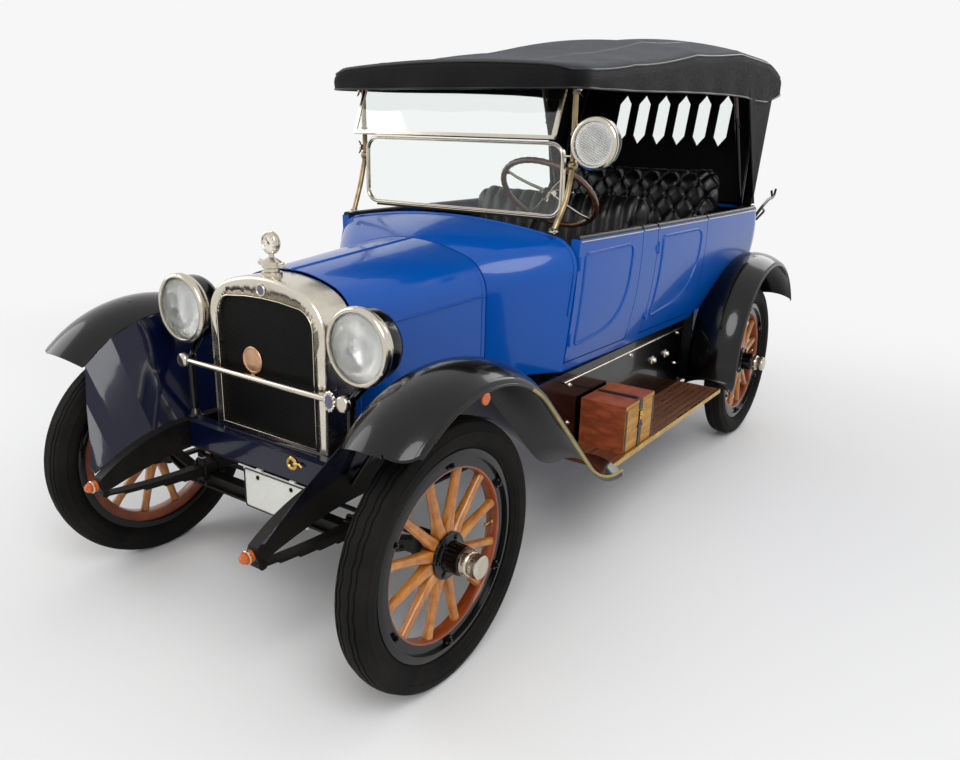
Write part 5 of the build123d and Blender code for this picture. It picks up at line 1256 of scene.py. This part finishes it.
# Rear curtain and quarters: the same cloth hung from the rear bow to the belt, with six pointed
# lights of clear sheet sewn in behind leather bindings.
CURTAIN_FOOT, CURTAIN_TOP = 1.263, 1.985
LIGHT_ROWS = (1.580, 1.635, 1.825, 1.880)  # the lights' lower points, shoulders and upper points
LIGHT_PITCH, LIGHT_HALF = 0.130, 0.042
REAR_HALF = 3 * LIGHT_PITCH


def curtain_place(side, run_along, z):
    """A place on the curtain: side 0 is the flat rear, with x; else the corner and quarter."""
    t = (z - 1.262) / 0.728
    half, rear, corner = 0.654 - 0.049 * t, 3.111 + 0.223 * t, 0.225 - 0.135 * t
    if side == 0:
        return at(run_along, rear, z)
    if run_along <= 1:
        a = math.pi / 2 * run_along
        return at(side * (half - corner + corner * math.sin(a)), rear - corner + corner * math.cos(a), z)
    start = 2.955 - 0.215 * t
    reach = run_along - 1
    billow = 0.006 * math.sin(math.pi * t) * math.sin(math.pi * reach)
    return at(side * (half - billow), rear - corner + (start - rear + corner) * reach, z)


heights = [CURTAIN_FOOT + (LIGHT_ROWS[0] - CURTAIN_FOOT) * k / 5 for k in range(5)] + list(LIGHT_ROWS)
heights += [LIGHT_ROWS[3] + (CURTAIN_TOP - LIGHT_ROWS[3]) * k / 2 for k in (1, 2)]
lights = [(light - 2.5) * LIGHT_PITCH for light in range(6)]
edges_x = [x + step for x in lights
           for step in (-LIGHT_PITCH / 2, -LIGHT_HALF, 0, LIGHT_HALF)] + [REAR_HALF]
bm = bmesh.new()
for sign in (1, -1):
    quads(bm, [[bm.verts.new(curtain_place(sign, k / 10, z)) for k in range(21)] for z in heights],
          closed=False)


def patch(*corners):
    """A face of the curtain between places given as side, way along and height."""
    bm.faces.new([bm.verts.new(curtain_place(*corner)) for corner in corners])


for low, high in zip(heights, heights[1:]):
    for k, (left, right) in enumerate(zip(edges_x, edges_x[1:])):
        edge, tip = (left, right) if k % 4 == 1 else (right, left)
        if k % 4 in (0, 3) or high <= LIGHT_ROWS[0] or low >= LIGHT_ROWS[3]:
            patch((0, left, low), (0, right, low), (0, right, high), (0, left, high))
        elif high == LIGHT_ROWS[1]:
            patch((0, edge, low), (0, tip, low), (0, edge, high))
        elif low == LIGHT_ROWS[2]:
            patch((0, edge, high), (0, tip, high), (0, edge, low))
    for sign in (1, -1):
        patch((0, sign * REAR_HALF, low), (sign, 0, low), (sign, 0, high), (0, sign * REAR_HALF, high))
bmesh.ops.remove_doubles(bm, verts=bm.verts, dist=0.0004)
curtain = settle(bm, "rear_curtain", top_cloth, smooth=60)
bm, panes = bmesh.new(), bmesh.new()
for x in lights:
    outline = [(x - LIGHT_HALF, LIGHT_ROWS[1]), (x, LIGHT_ROWS[0]), (x + LIGHT_HALF, LIGHT_ROWS[1]),
               (x + LIGHT_HALF, LIGHT_ROWS[2]), (x, LIGHT_ROWS[3]), (x - LIGHT_HALF, LIGHT_ROWS[2])]
    edge = [curtain_place(0, *place) for place in outline]
    swept(bm, run(edge, 0.03), 0.0062, 8, closed=True, squash=0.8)
    inner, outer = ([panes.verts.new(p + Vector((0, depth, 0))) for p in edge]
                    for depth in (-0.0008, 0.0008))
    panes.faces.new(inner)
    panes.faces.new(outer[::-1])
    quads(panes, [inner, outer])
for sign in (1, -1):
    swept(bm, [curtain_place(sign, 2, z) for z in heights], 0.005, 8)
foot = [curtain_place(1, 2 - k / 10, 1.268) for k in range(21)]
foot += [curtain_place(-1, k / 10, 1.268) for k in range(21)]
swept(bm, foot, 0.0055, 8, squash=0.8)
bindings = settle(bm, "curtain_bindings", leather, smooth=60)
light_panes = settle(panes, "curtain_lights", clear_glass)
studs = [(sign, along) for sign in (1, -1) for along in (0.3, 0.8, 1.25, 1.6, 1.9)]
studs += [(0, x) for x in (-0.3, -0.1, 0.1)]
bm = bmesh.new()
for side, along in studs:
    spot = curtain_place(side, along, 1.282)
    turned(bm, [(0, 0), (0.0085, 0), (0.0085, 0.003), (0.006, 0.006), (0, 0.007)],
           facing((spot.x, spot.y - 1.2, 0), spot), 14)
fasteners = settle(bm, "curtain_fasteners", nickel)

# Bows: bent ash, stained dark, in black steel sockets that turn on a pivot at the belt. Rests
# with forks stand behind the body, for the top when it is folded.
bow_ash = finish("stained_ash", grain, {
    "Light": tint(74, 50, 32), "Dark": tint(34, 22, 15), "Stretch": (3, 30, 30), "Shine": 0.4,
}, bump=0.0003, Coat_Weight=0.3, Coat_Roughness=0.2)
dress(bow_ash, "canopy_bows")
RESTS = (  # the arm, the fork and the stay: places, radius of their bends, thickness and sides of the rod
    (((0.652, 3.000, 1.210), (0.668, 3.060, 1.262), (0.668, 3.180, 1.300), (0.664, 3.270, 1.306)),
     0.03, 0.009, 12),
    (((0.664, 3.236, 1.345), (0.664, 3.262, 1.312), (0.664, 3.300, 1.312), (0.664, 3.322, 1.352)),
     0.014, 0.0068, 12),
    (((0.668, 3.060, 1.262), (0.664, 3.140, 1.236), (0.640, 3.080, 1.190)), 0.02, 0.0065, 10),
)
bm = bmesh.new()
for sign in (1, -1):
    for station, top in ((2.600, 2.031), (3.100, 2.021), (3.260, 1.983)):
        foot, head = at(sign * 0.587, 2.940, 1.235), at(sign * 0.572, station, top)
        mouth = foot.lerp(head, 0.62)
        swept(bm, [foot.lerp(head, 0.05), mouth], 0.0114, 14)
        swept(bm, [mouth, mouth.lerp(head, 0.03)], [0.0128, 0.0122], 14)
        nut(bm, foot.lerp(head, 0.58) + Vector((sign * 0.0105, 0, 0)), (sign, 0, 0), 0.006, 0.004)
    turned(bm, [(0, 0), (0.021, 0), (0.021, 0.004), (0.012, 0.007), (0.012, 0.012), (0, 0.014)],
           facing((sign, 0, 0), at(sign * 0.655, 2.940, 1.235)), 24)
    for curve, radius, thick, sides in RESTS:
        swept(bm, rounded([at(sign * x, y, z) for x, y, z in curve], radius, False), thick, sides)
settle(bm, "bow_sockets_and_rests", enamel_black, smooth=50)

# Headlamps: black steel drums with plated rims, silvered bowls and fluted lenses, on black
# posts that rise from the frame, tied together by a plated bar across the radiator.
silvered = finish("silvered_bowl", polish, {
    "Metal": tint(252, 252, 250), "Tarnish": tint(240, 236, 226), "Age": 0.1, "Shine": 0.06,
}, Metallic=1.0)
LAMP = (0.417, 0.035, 1.020)  # left of the middle, station, height
POST_X, POST_STATION, POST_FOOT, TIE_HEIGHT = 0.385, -0.035, 0.628, 0.845
for side, sign in SIDES:
    aim = facing(FORWARD, at(sign * LAMP[0], LAMP[1], LAMP[2]))
    bm = bmesh.new()
    turned(bm, [(0, -0.062), (0.036, -0.059), (0.062, -0.051), (0.082, -0.040), (0.098, -0.027),
                (0.108, -0.012), (0.113, 0.004), (0.113, 0.052), (0.109, 0.052),
                (0.109, 0.0)], aim, 64)
    turned(bm, [(0, -0.061), (0.016, -0.0615), (0.014, -0.066), (0, -0.067)], aim, 20)
    drum = settle(bm, f"lamp_drum_{side}", enamel_black, smooth=50)
    if side == "left":
        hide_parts("headlamps")
    bm = bmesh.new()
    turned(bm, [(0.1128, 0.050), (0.116, 0.0505), (0.1235, 0.053), (0.125, 0.057), (0.125, 0.070),
                (0.1235, 0.0745), (0.118, 0.0795), (0.112, 0.0805), (0.1085, 0.0785), (0.108, 0.074),
                (0.1085, 0.068)],
                aim, 72)
    turned(bm, [(0.1130, 0.036), (0.1150, 0.037), (0.1150, 0.044), (0.1130, 0.045)], aim, 72)
    swept(bm, [aim @ Vector((-0.116, 0.012 * sign, 0.062)), aim @ Vector((-0.1245, 0, 0.064))],
          [0.008, 0.006], 12)
    for x, y in circle(0.1165, 3, 90):
        turned(bm, [(0, 0), (0.006, 0), (0.006, 0.004), (0, 0.006)],
               aim @ Matrix.Translation((x, y, 0.0745)), 12)
    settle(bm, f"lamp_rim_{side}", nickel, smooth=50)
    bm = bmesh.new()
    bowl = [(0.1085 * s, 0.066 - 0.111 * c) for c, s in arc((0, 0), 1, 0, 90, 14)[1:-1]]
    turned(bm, [(0.0, -0.045)] + bowl + [(0.1085, 0.064)], aim, 64)
    settle(bm, f"lamp_bowl_{side}", silvered, smooth=60)
    bm = bmesh.new()
    turned(bm, [(0.012, -0.046), (0.012, -0.020), (0.008, -0.016), (0.014, -0.004), (0.019, 0.010),
                (0.014, 0.024),
                (0.0, 0.030)], aim, 24)
    settle(bm, f"lamp_bulb_{side}", clear_glass, smooth=60)
bm = bmesh.new()
for sign in (1, -1):
    foot, head = (at(sign * POST_X, POST_STATION, z) for z in (POST_FOOT, TIE_HEIGHT))
    post = rounded([foot, head, at(sign * LAMP[0], 0.037, 0.914)], 0.02, False)
    swept(bm, post, [0.0130] + [0.0125] * 7 + [0.0115], 16)
    turned(bm, [(0, 0), (0.030, 0), (0.030, 0.006), (0.020, 0.012), (0.015, 0.030), (0.0135, 0.032)],
           Matrix.Translation(foot), 28)
    turned(bm, [(0.0128, -0.018), (0.019, -0.014), (0.019, 0.014), (0.0128, 0.018)],
           Matrix.Translation(head), 24)
settle(bm, "lamp_posts", enamel_black, smooth=50)
bm = bmesh.new()
swept(bm, [at(x, -0.062, TIE_HEIGHT) for x in (-POST_X, POST_X)], 0.0105, 16)
for sign in (1, -1):
    turned(bm, [(0.0115, 0.0), (0.0115, 0.016), (0.0225, 0.020), (0.026, 0.026), (0.026, 0.038),
                (0.022, 0.0425), (0.012, 0.0438),
                (0, 0.044)],
                facing(FORWARD, at(sign * POST_X, POST_STATION, TIE_HEIGHT)), 32)
settle(bm, "lamp_tie_bar", nickel, smooth=50)
flutes, given, place = new_effect("lens_flutes", {"Pitch": 62.0})
slanted = add_node(flutes, "Mapping", {"Vector": place, "Rotation": (0.0, 0.35, 0.0)}).outputs[0]
ribs = add_node(flutes, "TexWave", {"Vector": slanted, "Scale": given["Pitch"]},
                bands_direction="Z").outputs["Fac"]
clear = blend(flutes, ribs, (1.0, 1.0, 1.0, 1), (0.97, 0.98, 0.97, 1))
lead_out(flutes, clear, reckon(flutes, "MULTIPLY_ADD", ribs, 0.05, 0.02), ribs)
lens_glass = finish("fluted_lens", flutes, bump=0.0014, IOR=1.45, Transmission_Weight=1.0)
dress(lens_glass, "headlamp_lenses")

# Spotlight: a black bowl on a swivel arm clamped to the left stanchion, with a plated rim
# screwed over a small mirror and its lens.
dress(enamel_black, "spotlight")
aim = facing(FORWARD, at(0.672, 0.950, 1.610))
bm = bmesh.new()
turned(bm, [(0.073, 0.034), (0.076, 0.0455), (0.082, 0.0465), (0.088, 0.043), (0.0925, 0.038),
            (0.0925, 0.030),
            (0.0885, 0.029)], aim, 56)
swept(bm, [at(0.672, 1.036, 1.610), at(0.672, 1.050, 1.610), at(0.668, 1.058, 1.600)],
      [0.006, 0.006, 0.007], 12)
for x, y in circle(0.086, 4, 45):
    nut(bm, aim @ Vector((x, y, 0.042)), FORWARD, 0.004, 0.002)
settle(bm, "spot_rim", nickel, smooth=50)
bm = bmesh.new()
turned(bm, [(0, 0.0325), (0.0735, 0.0325), (0.0735, 0.034), (0, 0.0345)], aim, 40)
settle(bm, "spot_mirror", silvered)
bm = bmesh.new()
turned(bm, [(0, 0.0372), (0.074, 0.0360), (0.074, 0.0395), (0.050, 0.0425), (0, 0.0445)], aim, 48)
settle(bm, "spot_lens", lens_glass, smooth=60)

# Fenders and aprons: crowned steel in stove black with a wired edge, and irons under them. The
# front aprons are black enamel tinted deep blue, a painted reflection of the sky; thin plates
# close the rear fenders' front edges.
# The deep blue in the aprons' black is a painted reflection of the sky.
apron_sky_reflection = finish("apron_enamel", dust_and_shade_film, {
    "Paint": tint(10, 16, 40), "Dust": tint(48, 52, 64), "Amount": 0.08, "Shine": 0.2, "Low": 0.6,
}, bump=0.00008, Coat_Weight=0.45, Coat_Roughness=0.06, Specular_IOR_Level=0.15)
dress(enamel_black, "front_fenders", "rear_fenders", "splash_aprons")
dress(apron_sky_reflection, "front_aprons")
FRONT_CROWN = ((0.03, 0.500), 0.4655)  # the middle and radius of each fender's outer edge
REAR_CROWN = ((WHEELBASE, 0.490), 0.4905)
EDGE_X = 0.858
bm = bmesh.new()
for sign in (1, -1):
    for edge in (arc(*FRONT_CROWN, 124, 45, 30), arc(*REAR_CROWN, 29, 179, 50)):
        swept(bm, [at(sign * EDGE_X, y, z) for y, z in edge], 0.0042, 8)
    for station in (-0.05, 0.20):
        reach = math.sqrt(0.472 ** 2 - (station - FRONT_CROWN[0][0]) ** 2)
        iron_line = ((0.402, 0.585), (0.56, 0.560 + reach * 0.55), (0.62, 0.484 + reach),
                     (0.80, 0.498 + reach))
        swept(bm, rounded([at(sign * x, station, z) for x, z in iron_line], 0.05, False), 0.008, 10)
    for station, z in ((-0.052, 1.010), (0.196, 0.980), (2.55, 0.955), (3.04, 0.955)):
        turned(bm, [(0.009, 0), (0.008, 0.004), (0, 0.006)], facing(UP, at(sign * 0.70, station, z)), 12)
settle(bm, "fender_wires_and_irons", enamel_black, smooth=50)
bm = bmesh.new()
for sign in (1, -1):
    block(bm, sign * 0.577, sign * 0.580, 2.258, 2.304, 0.400, 0.800)
    block(bm, sign * 0.577, sign * 0.603, 2.301, 2.304, 0.400, 0.800)
settle(bm, "fender_closing_plates", enamel_black)
edge_ochre = finish("edge_ochre", polish, {
    "Metal": tint(150, 132, 62), "Tarnish": tint(84, 82, 40), "Age": 0.7, "Shine": 0.4,
}, bump=0.0001, Coat_Weight=0.2)
toe = (Vector((0.656, 0.532)), Vector((0.783, 0.405)), Vector((0.958, 0.405)))  # the curve into the board
edge = arc(*FRONT_CROWN, 62, 45, 6)[:-1] + [(0.359 + 0.297 * k / 6, 0.829 - 0.297 * k / 6)
                                            for k in range(7)]
edge += [toe[0] * (1 - t) ** 2 + toe[1] * 2 * t * (1 - t) + toe[2] * t ** 2
         for t in (k / 10 for k in range(1, 11))]
bm = bmesh.new()
for sign in (1, -1):
    swept(bm, [at(sign * (EDGE_X + 0.0005), y, z) for y, z in edge], 0.0055, 10)
settle(bm, "fender_tail_edges", edge_ochre, smooth=60)

# Running boards: oiled hardwood slats with bright strips between them and a brass edging; on
# the splash apron behind stand small plated fittings.
slat_oak = finish("slat_wood", grain, {
    "Light": tint(122, 74, 44), "Dark": tint(66, 36, 20), "Stretch": (24, 2.5, 24), "Shine": 0.5,
}, bump=0.0006)
dress(slat_oak, "running_boards")
BOARD_INNER, SLAT_PITCH = 0.580, 0.226 / 7
BOARD_FRONT, BOARD_REAR = 0.964, 2.237
bm = bmesh.new()
for sign in (1, -1):
    for groove in range(6):
        x = sign * (BOARD_INNER + SLAT_PITCH * (groove + 1))
        block(bm, x - 0.0022, x + 0.0022, 0.985, 2.215, 0.4005, 0.4035)
    x = sign * 0.803
    block(bm, x - 0.007, x + 0.0035, BOARD_FRONT, BOARD_REAR, 0.4045, 0.4070)
    block(bm, sign * 0.8060, sign * 0.8080, BOARD_FRONT, BOARD_REAR, 0.386, 0.4070)
    for station in (1.0, 1.25, 1.5, 1.75, 2.0, 2.2):
        pin = facing((sign, 0, 0), at(sign * 0.808, station, 0.396))
        turned(bm, [(0.004, 0), (0.003, 0.0015), (0, 0.002)], pin, 10)
settle(bm, "board_strips_and_edging", brass, bevel=0.0006)
APRON_FACE = 0.578
bm = bmesh.new()
for sign in (1, -1):
    for station in (1.02, 1.60, 2.16):
        for z in (0.52, 0.68):
            nut(bm, at(sign * APRON_FACE, station, z), (sign, 0, 0), 0.008, 0.006)
    for station in (1.86, 2.02):
        boss = facing((sign, 0, 0), at(sign * APRON_FACE, station, 0.60))
        turned(bm, [(0, 0), (0.022, 0), (0.022, 0.003), (0.014, 0.006), (0.012, 0.016),
                    (0.006, 0.020), (0, 0.021)],
               boss, 24)
    swept(bm, [at(sign * 0.582, 0.965, 0.700), at(sign * 0.582, 2.262, 0.700)], 0.004, 8)
settle(bm, "splash_apron_fittings", nickel, smooth=50)

# Toolbox: stained softwood boards with a paler outer side, leather at the corners and a
# leather strap over the lid, done up with a brass buckle.
box_red = finish("toolbox_wood", grain, {
    "Light": tint(170, 86, 48), "Dark": tint(104, 44, 24), "Stretch": (6, 4, 22), "Shine": 0.45,
}, bump=0.0008)
box_ochre = finish("toolbox_front", grain, {
    "Light": tint(196, 146, 60), "Dark": tint(138, 92, 30), "Stretch": (20, 3, 22), "Shine": 0.4,
}, bump=0.0008)
dress(box_red, "toolbox", "toolbox_lid")
BOX_SIDE, BOX_FRONT, BOX_REAR = 0.790, 1.107, 1.383
BOARD = 0.003  # the paler board's thickness, on which the leather lies


def on_side(bm, front, rear, low, high, thick, lift=BOARD):
    """A flat plate on the toolbox's outer side."""
    block(bm, BOX_SIDE + lift, BOX_SIDE + lift + thick, front, rear, low, high)


bm = bmesh.new()
on_side(bm, BOX_FRONT, BOX_REAR, 0.407, 0.588, BOARD, 0.0)
settle(bm, "toolbox_side", box_ochre, bevel=0.001)
bm = bmesh.new()
for station in (BOX_FRONT, BOX_REAR - 0.014):
    on_side(bm, station, station + 0.014, 0.407, 0.588, 0.0018)
on_side(bm, 1.232, 1.262, 0.407, 0.560, 0.0035)
on_side(bm, 1.226, 1.268, 0.486, 0.500, 0.0055)
settle(bm, "toolbox_strap_and_corners", leather, bevel=0.0008)
bm = bmesh.new()
on_side(bm, BOX_FRONT, BOX_REAR, 0.5905, 0.6055, BOARD, 0.0)
settle(bm, "toolbox_lid_edge", box_ochre, "toolbox_lid", bevel=0.001)
bm = bmesh.new()
swept(bm, [at(0.600, 1.247, 0.6075), at(0.780, 1.247, 0.6085)], 0.015, 8, squash=0.12)
on_side(bm, 1.232, 1.262, 0.565, 0.607, 0.003)
settle(bm, "toolbox_lid_strap", leather, "toolbox_lid", bevel=0.0006)
bm = bmesh.new()
on_side(bm, 1.236, 1.258, 0.520, 0.556, 0.003, 0.0065)
turned(bm, [(0, 0), (0.006, 0), (0.006, 0.004), (0.003, 0.008), (0, 0.009)],
       facing((1, 0, 0), at(0.7995, 1.247, 0.538)), 14)
settle(bm, "toolbox_buckle", brass, bevel=0.0006)

# Number plate: blank white enamelled steel with a rolled black edge, bolted on. Amber marker
# lamps sit on the front fenders and, in plated rims, on the tips of the frame.
plate_white = finish("plate_enamel", dust_and_shade_film, {
    "Paint": tint(214, 214, 208), "Dust": tint(150, 140, 120), "Amount": 0.35, "Shine": 0.25, "Scale": 12.0,
}, Coat_Weight=0.6, Coat_Roughness=0.1)
dress(plate_white, "number_plate")
bm = bmesh.new()
plate_edge = [at(x, -0.0955, z) for x, z in ((-0.056, 0.394), (0.236, 0.394), (0.236, 0.532),
                                             (-0.056, 0.532))]
swept(bm, rounded(plate_edge, 0.012), 0.0028, 8, closed=True)
for x in (0.010, 0.170):
    nut(bm, at(x, -0.0952, 0.512), FORWARD, 0.006, 0.003)
settle(bm, "plate_edge_and_bolts", enamel_black, smooth=50)
amber = finish("amber_lens", flutes, {"Pitch": 120.0}, bump=0.0006, IOR=1.5, Transmission_Weight=0.35)
amber_tree = amber.node_tree
warm = add_node(amber_tree, "TexNoise", {"Scale": 60.0}).outputs[0]
warmth = blend(amber_tree, warm, tint(236, 118, 20), tint(206, 84, 10))
amber_tree.links.new(warmth, amber_tree.nodes["Principled BSDF"].inputs["Base Color"])
dress(amber, "marker_lamps")
bm = bmesh.new()
for sign in (1, -1):
    turned(bm, [(0.0155, 0), (0.0205, 0), (0.021, 0.004), (0.018, 0.007), (0.0155, 0.006), (0.0155, 0)],
           facing(FORWARD, at(sign * 0.380, -0.4515, 0.498)), 28)
settle(bm, "marker_rims", nickel, smooth=50)

# Tail: the steel bolts of the spare tyre's carrier, six round its ring and four at its stays,
# in the same black as the frame.
bm = bmesh.new()
for x, z in circle(0.296, 6, 30, (0, 0.800)):
    nut(bm, at(x, 3.336, z), REARWARD, 0.010, 0.008)
for x in (0.140, -0.140):
    for z in (0.575, 0.985):
        nut(bm, at(x, 3.233, z), REARWARD, 0.009, 0.006)
settle(bm, "carrier_bolts", chassis_black)


# Floor, light: a plain pale studio. The floor keeps the shadow; the background is its own
# colour, and it is what plated metal and glass show.
def seen_or_mirrored(tree):
    """1 for rays of the camera and those that mirrors and glass pass on."""
    rays = add_node(tree, "LightPath").outputs
    seen = reckon(tree, "MAXIMUM", rays["Is Camera Ray"], rays["Is Glossy Ray"])
    return reckon(tree, "MAXIMUM", seen, rays["Is Transmission Ray"])


BACKDROP = 0.93
world = bpy.data.worlds.new("studio")
bpy.context.scene.world = world
world.use_nodes = True
tree = world.node_tree
tree.nodes.clear()
strength = spread(tree, seen_or_mirrored(tree), 0.0, 1.0, **{"To Min": 0.66, "To Max": BACKDROP})
backdrop = add_node(tree, "Background", {"Color": (1, 1, 1, 1), "Strength": strength})
ending = tree.nodes.new("ShaderNodeOutputWorld")
tree.links.new(backdrop.outputs[0], ending.inputs["Surface"])

bm = bmesh.new()
slab(bm, [(-40, -40), (40, -40), (40, 40), (-40, 40)], -0.02, 0.0)
floor_mesh = bpy.data.meshes.new("floor")
bm.to_mesh(floor_mesh)
bm.free()
floor = bpy.data.objects.new("floor", floor_mesh)
floor_paint = finish("floor", Base_Color=(0.84, 0.84, 0.84, 1), Roughness=0.9)
tree = floor_paint.node_tree
away = add_node(tree, "VectorMath", {0: add_node(tree, "TexCoord").outputs["Object"]}, operation="LENGTH")
far = add_node(tree, "MapRange", {"Value": away.outputs["Value"], "From Min": 2.4, "From Max": 6.0},
               interpolation_type="SMOOTHSTEP").outputs["Result"]
faded = reckon(tree, "MULTIPLY", seen_or_mirrored(tree), far)
pale = add_node(tree, "Emission", {"Color": (1, 1, 1, 1), "Strength": BACKDROP}).outputs[0]
both = add_node(tree, "MixShader", {0: faded, 1: tree.nodes["Principled BSDF"].outputs[0], 2: pale})
ending = next(node for node in tree.nodes if node.type == "OUTPUT_MATERIAL")
tree.links.new(both.outputs[0], ending.inputs["Surface"])
floor_mesh.materials.append(floor_paint)
bpy.context.scene.collection.objects.link(floor)

for name, where, towards, size, power in (
    ("key", (3.5, -4.0, 5.0), (0, 0, 0.8), 3.5, 190), ("fill", (-5.0, -3.0, 3.2), (0, 0, 0.9), 4.0, 80),
    ("back", (1.0, 6.0, 4.5), (0, 0, 1.0), 4.0, 100),
):
    lamp = bpy.data.lights.new(name, "AREA")
    lamp.shape, lamp.size, lamp.energy = "DISK", size, power
    held = bpy.data.objects.new(name, lamp)
    held.location = where
    held.rotation_euler = (Vector(towards) - Vector(where)).to_track_quat("-Z", "Y").to_euler()
    bpy.context.scene.collection.objects.link(held)

bpy.context.scene.view_settings.view_transform = "Standard"
